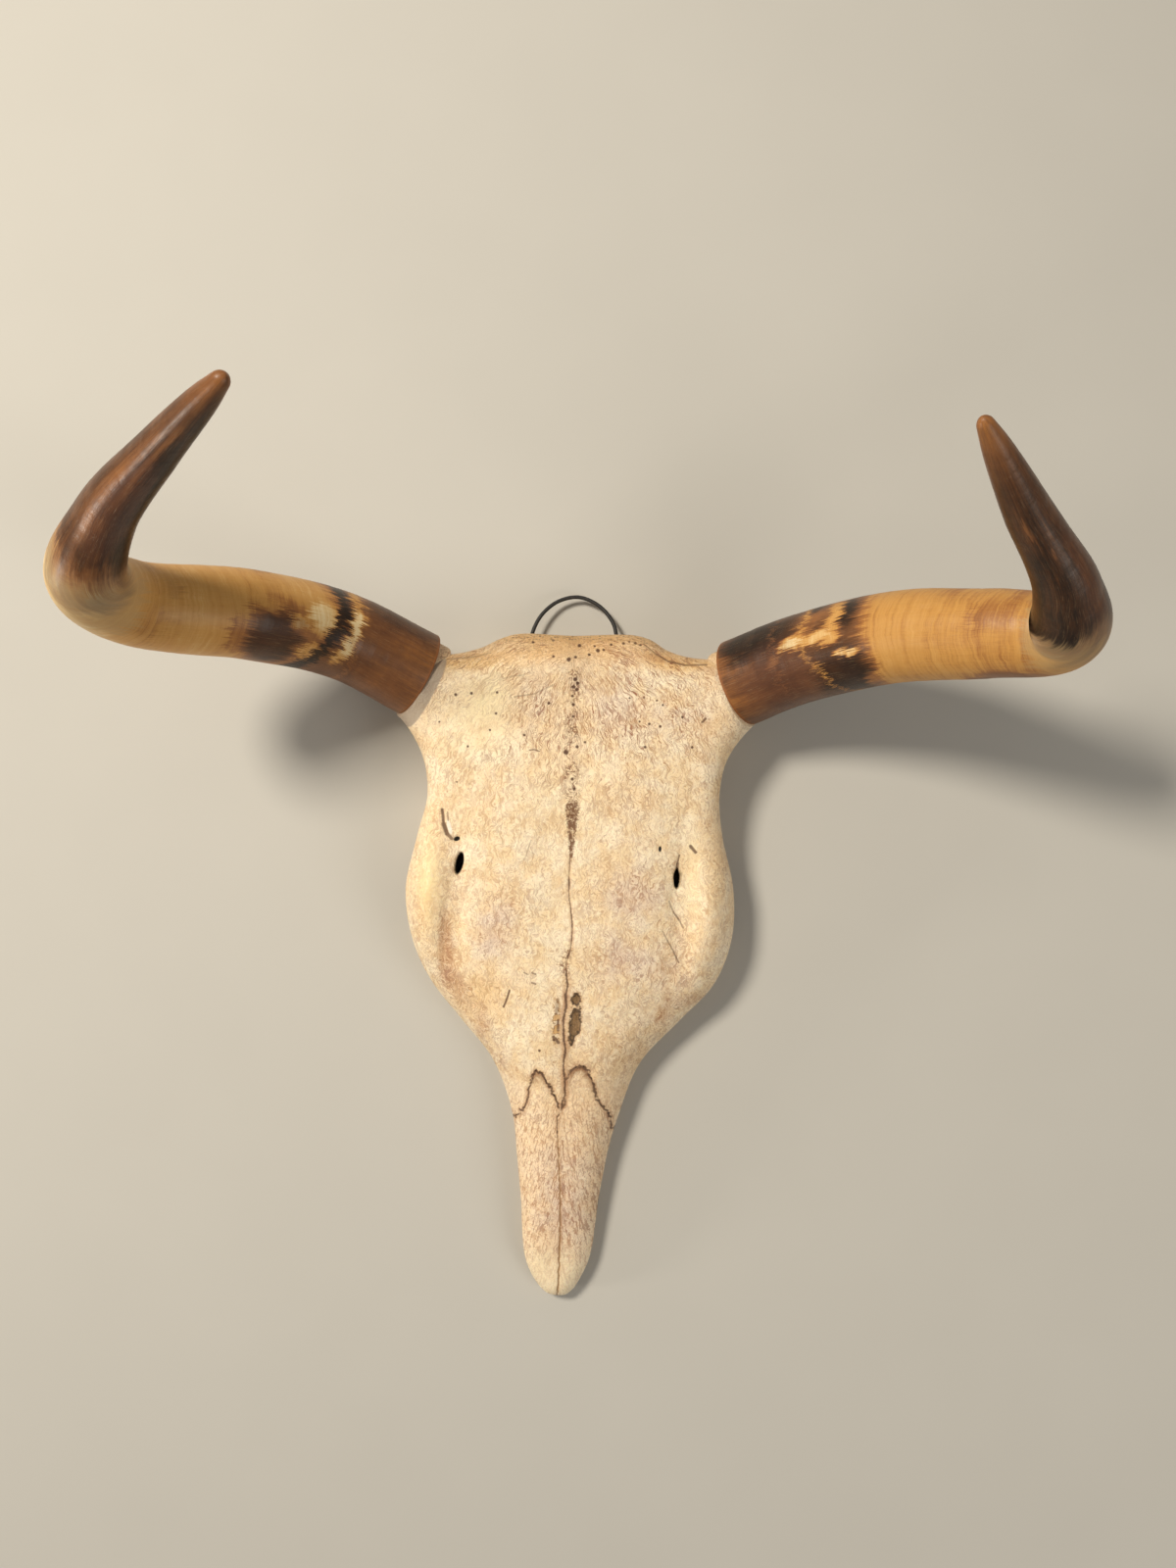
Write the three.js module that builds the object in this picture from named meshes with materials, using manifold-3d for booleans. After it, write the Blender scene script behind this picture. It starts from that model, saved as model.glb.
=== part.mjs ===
// A steer skull plate with its horns, lying on its sawn back: the forehead and nose bones of a
// longhorn-type steer, the two horn sheaths on their bone cores, and a stiff wire loop to hang it by.
// Millimetres, +Z up. X runs across the face, Y from the nose tip towards the poll, Z out of the face.
// The skull is modelled about its own midline, and the group is then centred on its bounding box.

import * as THREE from "three";
import { mergeVertices } from "three/addons/utils/BufferGeometryUtils.js";
import Module from "manifold-3d";

const wasm = await Module();
wasm.setup();

// ---------------------------------------------------------------- driving dimensions

const GAP = 0.35; // clearance between touching pieces, and the width of a suture
const RIM = 1; // height of the thin wall where the face turns under at its outline
const POLL_Y = 169; // the poll's top edge, from the line between the eyes
const NOSE_Y = -297; // the tip of the nasal bones
const CREST_Y = 161; // the crest where the forehead turns over to the back of the head
const ACROSS = 28; // grid steps across the face
const ALONG = 37; // grid steps from nose to poll

// The outline of the face, from the nose tip up each side to the bone hidden in the horn sheath.
const LEFT_SIDE = [
  [-14, -291], [-20, -281.7], [-25.3, -267], [-28.8, -225], [-32, -196], [-36, -165], [-50, -128],
  [-72, -100], [-93, -73], [-106.5, -44], [-112, -8], [-104, 30], [-97, 58], [-101, 84], [-115, 107],
  [-133, 121],
];
const RIGHT_SIDE = [
  [10.5, -291], [15.8, -281], [21.2, -266], [26.2, -225], [31.5, -193], [39, -165], [53, -128],
  [80, -97], [103, -70], [114, -38], [114, -3], [105, 34], [102, 62], [107, 86], [125, 110],
  [143, 122],
];
const NOSE_TIP = [[-14, -291], [-8.5, -295.4], [-1.5, NOSE_Y], [5.2, -295.8], [10.5, -291]];
const POLL_TOP = [
  [-106, 161], [-89, 153.5], [-64, 158], [-50, 165], [-38, 168.8], [0, 168.4], [41, POLL_Y + 0.7],
  [53, 166.5], [64, 159.5], [79, 155], [99, 154.5], [114, 161],
];

// Heights above the sawn back, from nose to poll: the outline's edge, the crown along the midline,
// how far the crown falls towards the sides, and the width over which the rim rounds down.
const EDGE = [[-297, 7], [-266, 11], [-223, 14], [-165, 16], [-128, 18], [-97, 21], [-70, 26],
  [-40, 30], [0, 32], [35, 37], [66, 43], [120, 42], [155, 38], [170, 34]];
const CROWN = [[-297, 15], [-280, 21], [-260, 26], [-223, 33], [-165, 41], [-128, 47], [-97, 52],
  [-60, 56], [0, 60], [50, 64], [100, 68], [140, 70], [160, 66], [170, 60]];
const FALL = [[-297, 2], [-223, 5], [-165, 8], [-128, 12], [-97, 14], [-60, 13], [0, 11],
  [50, 8], [100, 5], [170, 4]];
const ROUNDING = [[-297, 9], [-266, 14], [-223, 20], [-165, 25], [-128, 28], [-70, 28], [-40, 24],
  [0, 22], [35, 18], [66, 15], [100, 20], [125, 25], [150, 21], [170, 16]];

const UNDERCUT = 5; // how far the side wall leans in between the outline and the sawn back
const NECK = { x: 84, y: 96, blend: 22, floor: 15, rounding: 24 }; // the bone's rounded underside by the horn

// Hollows that the saw left open in the back: centre and half sizes of each rounded hollow.
const EYE_SOCKET = { x: 121, y: -8, rx: 56, ry: 33, rz: 28 };
const TEMPLE = { x: 118, y: 71, rx: 40, ry: 24, rz: 36 };
const BRAINCASE = { x: 0, y: 92, rx: 50, ry: 48, rz: 44 };
const NASAL_PASSAGE = { x: 0, y: -172, rx: 20, ry: 112, rz: 24 };
const FORAMEN = { rx: 3, ry: 7, length: 64, slant: 0.5, z: 38 }; // canal from the brow to the eye socket
const FORAMEN_AT = { left: [-74, 12], right: [72.7, 5] };

// Horns: centre line and diameter, from the sheath's rim to the tip.
const LEFT_HORN = {
  line: [[-105, 139, 42], [-152, 161, 65], [-200.5, 167.5, 113], [-256, 166.5, 158], [-268, 175, 194],
    [-245, 202, 226], [-203, 227, 266], [-155.5, 248.5, 314]],
  girth: [[0, 59.5], [0.14, 58], [0.31, 56.5], [0.46, 51], [0.57, 45], [0.67, 33.5], [0.75, 28],
    [0.83, 22.5], [0.94, 15.5], [1, 8]],
  core: [[-16, 19], [-9, 21.5], [0, 26], [42, 22.5]],
};
const RIGHT_HORN = {
  line: [[113.5, 138, 42], [149, 152, 65], [202, 163, 109], [247.5, 161, 150], [279, 160, 181],
    [268, 178, 211], [231, 211, 250], [193, 243, 294]],
  girth: [[0, 60], [0.14, 59], [0.31, 57.5], [0.46, 53], [0.57, 47], [0.67, 35.5], [0.75, 28.5],
    [0.83, 24], [0.94, 15], [1, 7]],
  core: [[-16, 18], [-2, 22], [6, 25], [42, 22]],
};
const HORN_RINGS = 24;
const HORN_SIDES = 16;
const TIP_ROUNDING = 0.012; // share of a horn's length over which its tip rounds off

// Hanging wire: an arch of stiff wire whose ends sit in holes drilled in the back of the poll.
const WIRE_DIAMETER = 2.8;
const WIRE_HOLE_DEPTH = 9;
const WIRE_LEG = { x: 30, y: 166, z: 12 };
const WIRE_TOP = { y: 199.5, z: 8 };

// ---------------------------------------------------------------- small maths

const FRAME_STEPS = 400; // how finely a curve's frames are worked out

const clamp01 = (t) => Math.min(1, Math.max(0, t));
const mix = (a, b, t) => a + (b - a) * t;

// A smooth curve through [position, value] stations, which never overshoots between them.
function stations(table) {
  const x = table.map((p) => p[0]);
  const y = table.map((p) => p[1]);
  const secant = x.slice(1).map((next, i) => (y[i + 1] - y[i]) / (next - x[i]));
  const slope = x.map((_, i) => {
    if (i === 0) return secant[0];
    if (i === x.length - 1) return secant[i - 1];
    const [a, b] = [secant[i - 1], secant[i]];
    return a * b <= 0 ? 0 : (2 * a * b) / (a + b);
  });
  return (at) => {
    const t = Math.min(x[x.length - 1], Math.max(x[0], at));
    let i = 0;
    while (i < x.length - 2 && t > x[i + 1]) i += 1;
    const h = x[i + 1] - x[i];
    const s = (t - x[i]) / h;
    const s2 = s * s;
    const s3 = s2 * s;
    return (2 * s3 - 3 * s2 + 1) * y[i] + (s3 - 2 * s2 + s) * h * slope[i]
      + (3 * s2 - 2 * s3) * y[i + 1] + (s3 - s2) * h * slope[i + 1];
  };
}

// A smooth line through points in the plane, as a curve that gives the point at a share of its length.
function outline(points, kind = "centripetal") {
  return new THREE.CatmullRomCurve3(points.map(([x, y]) => new THREE.Vector3(x, y, 0)), false, kind);
}

// ---------------------------------------------------------------- solids

function toSolid(geometry) {
  const plain = geometry.index ? geometry.toNonIndexed() : geometry.clone();
  plain.deleteAttribute("normal");
  plain.deleteAttribute("uv");
  const merged = mergeVertices(plain, 1e-3);
  return new wasm.Manifold(new wasm.Mesh({
    numProp: 3,
    vertProperties: merged.attributes.position.array,
    triVerts: new Uint32Array(merged.index.array),
  }));
}

function toGeometry(solid) {
  const mesh = solid.getMesh();
  const geometry = new THREE.BufferGeometry();
  geometry.setAttribute("position", new THREE.BufferAttribute(mesh.vertProperties, 3));
  geometry.setIndex(new THREE.BufferAttribute(mesh.triVerts, 1));
  geometry.computeVertexNormals();
  return geometry;
}

// Moves every vertex of a closed three.js shape.
function reshape(geometry, move) {
  const position = geometry.attributes.position;
  const point = new THREE.Vector3();
  for (let i = 0; i < position.count; i += 1) {
    point.fromBufferAttribute(position, i);
    const [x, y, z] = move(point.x, point.y, point.z);
    position.setXYZ(i, x, y, z);
  }
  return geometry;
}

// A turned shape bent along a curve: its radius against the share of the curve's length, at each share.
function bentLathe(curve, radiusAt, shares, sides) {
  const profile = shares.map((share) => new THREE.Vector2(radiusAt(share), share));
  const frames = curve.computeFrenetFrames(FRAME_STEPS, false);
  return reshape(new THREE.LatheGeometry([new THREE.Vector2(0, 0), ...profile, new THREE.Vector2(0, 1)],
    sides), (x, share, z) => {
    const centre = curve.getPointAt(clamp01(share));
    const step = Math.round(clamp01(share) * FRAME_STEPS);
    const across = frames.normals[step];
    const up = frames.binormals[step];
    return [centre.x + across.x * x - up.x * z, centre.y + across.y * x - up.y * z,
      centre.z + across.z * x - up.z * z];
  });
}

// ---------------------------------------------------------------- the face

const edgeHeight = stations(EDGE);
const crownHeight = stations(CROWN);
const sideFall = stations(FALL);
const rounding = stations(ROUNDING);
const leftSide = outline(LEFT_SIDE);
const rightSide = outline(RIGHT_SIDE);
const noseTip = outline(NOSE_TIP);
const pollTop = outline(POLL_TOP);

const halfWidth = {
  left: stations([...LEFT_SIDE].map(([x, y]) => [y, -x])),
  right: stations([...RIGHT_SIDE].map(([x, y]) => [y, x])),
};

// The top row of the grid: up the end of one horn core, along the poll and down the other.
const CORE_END = 0.12; // share of the row on each core's end
function topRow(u) {
  const leftEnd = leftSide.getPoint(1);
  const rightEnd = rightSide.getPoint(1);
  if (u < CORE_END) return leftEnd.lerp(pollTop.getPoint(0), u / CORE_END);
  if (u > 1 - CORE_END) return rightEnd.lerp(pollTop.getPoint(1), (1 - u) / CORE_END);
  return pollTop.getPointAt((u - CORE_END) / (1 - 2 * CORE_END));
}

// A point of the face's plan, spanned between its four border lines.
function planPoint(u, v) {
  const left = leftSide.getPointAt(v);
  const right = rightSide.getPointAt(v);
  const bottom = noseTip.getPointAt(u);
  const top = topRow(u);
  const [c00, c10] = [noseTip.getPoint(0), noseTip.getPoint(1)];
  const [c01, c11] = [leftSide.getPoint(1), rightSide.getPoint(1)];
  const span = (axis) => (1 - v) * bottom[axis] + v * top[axis] + (1 - u) * left[axis] + u * right[axis]
    - (1 - u) * (1 - v) * c00[axis] - u * (1 - v) * c10[axis] - (1 - u) * v * c01[axis]
    - u * v * c11[axis];
  return [span("x"), span("y")];
}

// The border that is a real edge of bone, as points. The ends of the horn cores are no part of it.
const BORDER_POINTS = 500;
const border = [leftSide, rightSide, noseTip, pollTop].flatMap((line) => line.getSpacedPoints(BORDER_POINTS));

function distanceToBorder(x, y) {
  return Math.sqrt(Math.min(...border.map((p) => (p.x - x) ** 2 + (p.y - y) ** 2)));
}

function bump(x, y, cx, cy, rx, ry) {
  return Math.exp(-(((x - cx) / rx) ** 2) - ((y - cy) / ry) ** 2);
}

// The low relief of the forehead: eye-socket rims, the grooves beside them, and the poll's swelling.
function relief(x, y) {
  const side = Math.abs(x);
  const rims = 7 * bump(side, y, 99, -14, 15, 40);
  const grooves = -5 * bump(side, y, 76, -22, 9, 42);
  const brows = 2.5 * bump(side, y, 42, 20, 30, 60);
  const poll = 4 * bump(x, y, 0, 150, 48, 20);
  const cheeks = -4 * bump(side, y, 62, -88, 20, 24);
  return rims + grooves + brows + poll + cheeks;
}

function faceTop(x, y, toBorder) {
  const width = x < 0 ? halfWidth.left(y) : halfWidth.right(y);
  const share = Math.min(1.1, Math.abs(x) / width);
  const crown = crownHeight(y) - sideFall(y) * share ** 2.2 + relief(x, y);
  const inward = 1 - clamp01(toBorder / rounding(y));
  const edge = edgeHeight(y);
  return edge + (crown - edge) * Math.sqrt(Math.max(0, 1 - inward * inward));
}

// The flat back, with a wall that leans in from the outline, and a rounded neck towards each horn.
function faceBottom(x, y, toBorder, top) {
  const inward = 1 - clamp01(toBorder / UNDERCUT);
  const wall = (edgeHeight(y) - RIM) * inward;
  const neck = clamp01((Math.abs(x) - NECK.x) / NECK.blend) * clamp01((y - NECK.y) / NECK.blend);
  const turned = 1 - clamp01(toBorder / NECK.rounding);
  const under = edgeHeight(y) - RIM - NECK.floor;
  const neckFloor = NECK.floor + under * (1 - Math.sqrt(1 - turned * turned));
  return Math.min(top - RIM, Math.max(wall, neck * neckFloor));
}

// The whole plate before it is parted: a box whose top and bottom grids take the face's shape.
function wholePlate() {
  const box = new THREE.BoxGeometry(1, 1, 1, ACROSS, ALONG, 1);
  return toSolid(reshape(box, (bx, by, bz) => {
    const [x, y] = planPoint(bx + 0.5, by + 0.5);
    const toBorder = distanceToBorder(x, y);
    const top = faceTop(x, y, toBorder);
    return [x, y, bz > 0 ? top : faceBottom(x, y, toBorder, top)];
  }));
}

function roundedHollow({ x, y, rx, ry, rz }) {
  const ball = new THREE.SphereGeometry(1, 20, 12);
  ball.scale(rx, ry, rz);
  return toSolid(ball.translate(x, y, 0));
}

function hollows() {
  const paired = [EYE_SOCKET, TEMPLE].flatMap((at) => [at, { ...at, x: -at.x }]);
  return [BRAINCASE, NASAL_PASSAGE, ...paired].map(roundedHollow);
}

// ---------------------------------------------------------------- sutures

// A thin upright sheet along a line, to part two bones by.
function cutAlong(points) {
  const half = GAP / 2;
  const sides = points.map(([x, y], i) => {
    const [ax, ay] = points[Math.max(0, i - 1)];
    const [bx, by] = points[Math.min(points.length - 1, i + 1)];
    const length = Math.hypot(bx - ax, by - ay);
    return [x, y, (-(by - ay) / length) * half, ((bx - ax) / length) * half];
  });
  const there = sides.map(([x, y, nx, ny]) => new THREE.Vector2(x + nx, y + ny));
  const back = sides.map(([x, y, nx, ny]) => new THREE.Vector2(x - nx, y - ny)).reverse();
  const sheet = new THREE.ExtrudeGeometry(new THREE.Shape([...there, ...back]), {
    depth: 120,
    bevelEnabled: false,
  });
  return toSolid(sheet.translate(0, 0, -20));
}

// The line down the middle of the face wanders by a millimetre or two.
function midline() {
  const points = [];
  for (let y = CREST_Y; y > NOSE_Y - 6; y -= 14) {
    points.push([1.2 * Math.sin(y / 31) - 0.5, y]);
  }
  points.push([-1.5, NOSE_Y - 6]);
  return points;
}

// The frontal bones end in a point between the tops of the two nasal bones.
const NASAL_ROOT = [[-60, -172], [-34, -169], [-26, -158], [-21, -143], [-15.5, -130], [-9, -139],
  [-2, -155], [2, -139], [5, -131], [12.5, -126], [19, -139], [24, -156], [34.5, -173], [60, -176]];
// The crest along the top of the forehead, behind which the back of the skull begins.
const CREST = [[-74, 150], [-62, 151.5], [-48, 158], [-36, 161.5], [0, CREST_Y], [38, 162], [51, 158.5],
  [63, 152], [75, 149]];
const crestEnds = [[-78, 168], ...CREST, [79, 168]];

// ---------------------------------------------------------------- horns

function hornCurve({ line }) {
  return new THREE.CatmullRomCurve3(line.map((p) => new THREE.Vector3(...p)), false, "centripetal");
}

// The shares of a horn's length at which it has a ring, closer together where the tip rounds off.
function hornShares() {
  const even = Array.from({ length: HORN_RINGS }, (_, i) => (i / HORN_RINGS) * (1 - TIP_ROUNDING));
  return [...even, ...[1, 0.6, 0.25, 0.06].map((left) => 1 - TIP_ROUNDING * left)];
}

// The outside of a horn.
function hornSolid(horn) {
  const girth = stations(horn.girth);
  const radius = (share) => {
    const past = clamp01((share - 1 + TIP_ROUNDING) / TIP_ROUNDING);
    return (girth(share) / 2) * Math.sqrt(1 - past * past);
  };
  return toSolid(bentLathe(hornCurve(horn), radius, hornShares(), HORN_SIDES));
}

// A turned solid on the straight line on which the horn leaves the skull: radius against distance.
function alongRoot(horn, table, grown, rings) {
  const curve = hornCurve(horn);
  const start = curve.getPointAt(0);
  const out = curve.getTangentAt(0);
  const [from, to] = [table[0][0], table[table.length - 1][0] + grown];
  const line = new THREE.LineCurve3(
    start.clone().addScaledVector(out, from),
    start.clone().addScaledVector(out, to),
  );
  const radius = stations(table);
  const shares = Array.from({ length: rings + 1 }, (_, i) => i / rings);
  return toSolid(bentLathe(line, (share) => radius(mix(from, to, share)) + grown, shares, HORN_SIDES));
}

const coreSolid = (horn, grown = 0) => alongRoot(horn, horn.core, grown, 4);
// Everything on the horn's side of the sheath's rim, by which the face is cut off.
const beyondRim = (horn) => alongRoot(horn, [[-GAP, 60], [90, 60]], 0, 1);
const sheathSolid = (horn) => hornSolid(horn).subtract(coreSolid(horn, GAP));

// ---------------------------------------------------------------- foramina and hanging wire

// A slanting canal from the forehead down into the eye socket.
function foramen([x, y]) {
  const side = Math.sign(x);
  const canal = new THREE.CylinderGeometry(1, 1.25, FORAMEN.length, 10);
  canal.rotateX(Math.PI / 2);
  canal.scale(FORAMEN.rx, FORAMEN.ry, 1);
  canal.rotateY(side * -FORAMEN.slant);
  canal.translate(x + side * 9, y - 2, FORAMEN.z);
  return toSolid(canal);
}

function wireCurve() {
  const { x, y, z } = WIRE_LEG;
  const leg = [-WIRE_HOLE_DEPTH, -WIRE_HOLE_DEPTH / 2, 0, 5].map((along) => y + along);
  const arch = [[-0.8, 19, -1], [-0.4, 30, -3], [0.1, WIRE_TOP.y - y, WIRE_TOP.z - z], [0.6, 27, -3],
    [0.92, 15, -1]];
  return new THREE.CatmullRomCurve3([
    ...leg.map((at) => new THREE.Vector3(-x, at, z)),
    ...arch.map(([across, up, out]) => new THREE.Vector3(across * x, y + up, z + out)),
    ...leg.reverse().map((at) => new THREE.Vector3(x, at, z)),
  ], false, "centripetal");
}

function wireSection() {
  return new THREE.Shape().absarc(0, 0, WIRE_DIAMETER / 2, 0, 2 * Math.PI);
}

function hangingWire() {
  return toSolid(new THREE.ExtrudeGeometry(wireSection(), {
    steps: 30,
    curveSegments: 4,
    extrudePath: wireCurve(),
  }));
}

// The holes that the wire's ends sit in.
function wireHoles() {
  const drill = new THREE.CylinderGeometry(WIRE_DIAMETER / 2 + 0.6, WIRE_DIAMETER / 2 + 0.6, 30, 10);
  const [left, right] = [-1, 1].map((side) => {
    const hole = drill.clone();
    hole.translate(side * WIRE_LEG.x, WIRE_LEG.y - WIRE_HOLE_DEPTH - 1 + 15, WIRE_LEG.z);
    return toSolid(hole);
  });
  return left.add(right);
}

// ---------------------------------------------------------------- parting the plate into its bones

function partBones() {
  const openings = [foramen(FORAMEN_AT.left), foramen(FORAMEN_AT.right), wireHoles(), ...hollows()];
  const ends = [beyondRim(LEFT_HORN), beyondRim(RIGHT_HORN)];
  const cuts = [midline(), NASAL_ROOT, crestEnds].map(cutAlong);
  return wholePlate().subtract(wasm.Manifold.union([...openings, ...ends, ...cuts])).decompose();
}

// Names each bone by where its box lies.
function nameOf(bone) {
  const { min, max } = bone.boundingBox();
  const side = min[0] + max[0] < 0 ? "left" : "right";
  if (min[1] > 120) return "occipital";
  if (max[1] < -120) return "nasal_" + side;
  return "frontal_" + side;
}

// ---------------------------------------------------------------- the model

const boneFinish = new THREE.MeshStandardMaterial({ color: 0xe6d0a6, roughness: 0.62, metalness: 0 });
const hornFinish = new THREE.MeshStandardMaterial({ color: 0x8f5f33, roughness: 0.28, metalness: 0 });
const wireFinish = new THREE.MeshStandardMaterial({ color: 0x16130f, roughness: 0.5, metalness: 0.4 });

function node(name, solid, finish) {
  const mesh = new THREE.Mesh(toGeometry(solid), finish);
  mesh.name = name;
  return mesh;
}

const skull = new THREE.Group();
const cores = { frontal_left: coreSolid(LEFT_HORN), frontal_right: coreSolid(RIGHT_HORN) };
const LEAST_BONE = 200; // cubic millimetres: anything smaller is a crumb left by the cuts
for (const bone of partBones().filter((part) => part.volume() > LEAST_BONE)) {
  const name = nameOf(bone);
  skull.add(node(name, cores[name] ? bone.add(cores[name]) : bone, boneFinish));
}
skull.add(node("horn_left", sheathSolid(LEFT_HORN), hornFinish));
skull.add(node("horn_right", sheathSolid(RIGHT_HORN), hornFinish));
skull.add(node("hanging_wire", hangingWire(), wireFinish));

const bounds = new THREE.Box3().setFromObject(skull, true);
skull.position.set(-(bounds.min.x + bounds.max.x) / 2, -(bounds.min.y + bounds.max.y) / 2, -bounds.min.z);
skull.updateMatrixWorld(true);

export default skull;
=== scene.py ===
# A longhorn steer's skull plate with its two horns and its hanging wire, lying on its sawn back.
# Lengths are in millimetres in the skull's own frame until a piece is placed: X runs across the
# face from its midline, Y along it towards the poll, and Z out of the face from the sawn back.
import math
from functools import reduce

import bmesh
import bpy
import numpy as np
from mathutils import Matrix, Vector, kdtree, noise

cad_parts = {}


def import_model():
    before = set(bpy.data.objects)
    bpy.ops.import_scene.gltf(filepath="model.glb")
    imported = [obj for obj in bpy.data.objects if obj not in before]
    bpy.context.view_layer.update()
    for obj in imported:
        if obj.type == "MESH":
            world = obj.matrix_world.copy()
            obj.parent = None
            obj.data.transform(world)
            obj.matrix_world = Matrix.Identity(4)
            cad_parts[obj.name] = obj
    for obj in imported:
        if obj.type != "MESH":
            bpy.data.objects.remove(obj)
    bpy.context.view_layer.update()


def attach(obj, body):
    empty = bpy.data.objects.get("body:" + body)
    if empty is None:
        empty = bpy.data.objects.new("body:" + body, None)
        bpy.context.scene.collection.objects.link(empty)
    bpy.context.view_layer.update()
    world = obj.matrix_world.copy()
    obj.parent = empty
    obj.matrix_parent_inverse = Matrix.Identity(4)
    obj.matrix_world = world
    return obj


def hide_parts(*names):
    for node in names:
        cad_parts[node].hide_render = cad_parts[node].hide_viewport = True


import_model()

MM = 0.001
PLACE = (-6.166, 22.746, 0.0)  # from the skull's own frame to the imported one

# ---------------------------------------------------------------- outline and heights of the face

LEFT_SIDE = [
    (-14, -291), (-20, -281.7), (-25.3, -267), (-28.8, -225), (-32, -196), (-36, -165), (-50, -128),
    (-72, -100), (-93, -73), (-106.5, -44), (-112, -8), (-104, 30), (-97, 58), (-101, 84), (-115, 107),
    (-133, 121),
]
RIGHT_SIDE = [
    (10.5, -291), (15.8, -281), (21.2, -266), (26.2, -225), (31.5, -193), (39, -165), (53, -128),
    (80, -97), (103, -70), (114, -38), (114, -3), (105, 34), (102, 62), (107, 86), (125, 110),
    (143, 122),
]
NOSE_TIP = [(-14, -291), (-8.5, -295.4), (-1.5, -296.9), (5.2, -295.8), (10.5, -291)]
POLL_TOP = [
    (-106, 161), (-89, 153.5), (-64, 158), (-50, 165), (-38, 168.8), (0, 168.4), (41, 169.7),
    (53, 166.5), (64, 159.5), (79, 155), (99, 154.5), (114, 161),
]
# How far the teeth of a seam reach, and how big they are.
ZIGZAG_TEETH = (2.8, 2.1)
NOSE_TEETH = (0.7, 5.0)
# The zigzag seam where the forehead ends and the two nose bones begin, from side to side.
LEFT_SEAM_Y = -167.5
RIGHT_SEAM_Y = -175.5
LEFT_SEAM = [
    (-33.5, -166.2), (-29.3, -160.1), (-25.4, -155.5), (-24.5, -149.5), (-23.8, -144.8), (-22.7, -139.4),
    (-21.7, -135.2), (-20.9, -131.9), (-19.5, -129.8), (-16.7, -128.9), (-14.2, -130.7), (-12.7, -134.1),
    (-10.8, -137.5), (-8.2, -140.8), (-7, -143.7), (-5.5, -147.1), (-4.3, -150.6), (-2.3, -154.6),
    (-0.7, -155.8),
]
RIGHT_SEAM = [
    (-0.7, -155.8), (0.9, -151.6), (1.2, -146.9), (1.5, -140), (1.8, -134.2), (3.1, -132.1),
    (4.2, -130.1), (6, -127.2), (8.7, -125.4), (11.5, -124.6), (14.3, -125.4), (16.5, -127.7),
    (18, -130.9), (19.5, -134.7), (20.6, -138.3), (21.3, -142.4), (22.5, -145.9), (24.9, -150.7),
    (28.4, -156.3), (31.3, -159.3), (32.9, -164), (34.4, -172.4),
]
NOSE_SEAM = [
    (-1.5, -296.9), (-0.7, -277.5), (-0.5, -258.5), (-0.3, -234.1), (-1, -210.2), (-2, -192.5),
    (-3.1, -175), (-3.5, -165.7), (-2.8, -159.8), (-0.7, -155.8),
]
# Where the seam down the middle of the forehead runs: height up the face, and distance across.
MIDDLE_SEAM = [
    (-155.8, -0.7), (-150.4, -0.5), (-144.3, 1.4), (-134, 0.9), (-123.7, -0.1), (-113.3, 0.9),
    (-106.4, -0.1), (-92.7, -0.7), (-82.4, 0.9), (-75.4, 0.5), (-68.5, 1.6), (-61.7, 0.6), (-56, 0.4),
    (-50, 1.2), (-42, 3.3), (-30, 3.9), (-20, 3), (-5, 1.1), (18, 1.1), (57, 1.4), (170, 1.2),
]

# Heights above the sawn back against the place along the face.
EDGE = [
    (-297, 7), (-266, 11), (-223, 14), (-165, 16), (-128, 18), (-97, 21), (-70, 26), (-40, 30), (0, 32),
    (35, 37), (66, 43), (120, 42), (155, 38), (170, 34),
]
CROWN = [
    (-297, 15), (-280, 21), (-260, 26), (-223, 33), (-165, 41), (-128, 47), (-97, 52), (-60, 56),
    (0, 60), (50, 64), (100, 68), (140, 70), (160, 66), (170, 60),
]
FALL = [
    (-297, 2), (-223, 5), (-165, 8), (-128, 12), (-97, 14), (-60, 13), (0, 11), (50, 8), (100, 5),
    (170, 4),
]
ROUNDING = [
    (-297, 9), (-266, 14), (-223, 20), (-165, 25), (-128, 28), (-70, 28), (-40, 24), (0, 22), (35, 18),
    (66, 15), (100, 20), (125, 25), (150, 21), (170, 16),
]
# Unevenness of the face: height, size of its hills and seed.
UNEVENNESS = [(0.7, 26, 3), (0.28, 9, 7), (0.09, 3.2, 11)]
SEAM_DEPTH = 0.5
SEAM_WIDTH = 0.7
RIM = 1.0  # height of the thin wall where the face turns under
UNDERCUT = 5.0  # how far the side wall leans in
NECK = dict(x=84, y=96, blend=22, floor=15, rounding=24)



def both_sides(*rows):
    """Table rows on both sides of the midline: each row as it is, then mirrored."""
    return [(side * across, *rest) for across, *rest in rows for side in (1, -1)]


# Rounded hollows that open in the sawn back: middle across and along, and half sizes.
HOLLOWS = [
    (0, 92, 50, 48, 44), (0, -172, 20, 112, 24), *both_sides((121, -8, 56, 33, 28), (118, 71, 40, 24, 36)),
]

# Soft swellings and dips of the face: middle, half sizes and height.
RELIEF = [
    *both_sides((99, -14, 15, 40, 7), (76, -22, 9, 42, -5), (42, 20, 30, 60, 2.5)),
    (0, 150, 48, 20, 4),
    *both_sides((62, -88, 20, 24, -4)),
]
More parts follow.
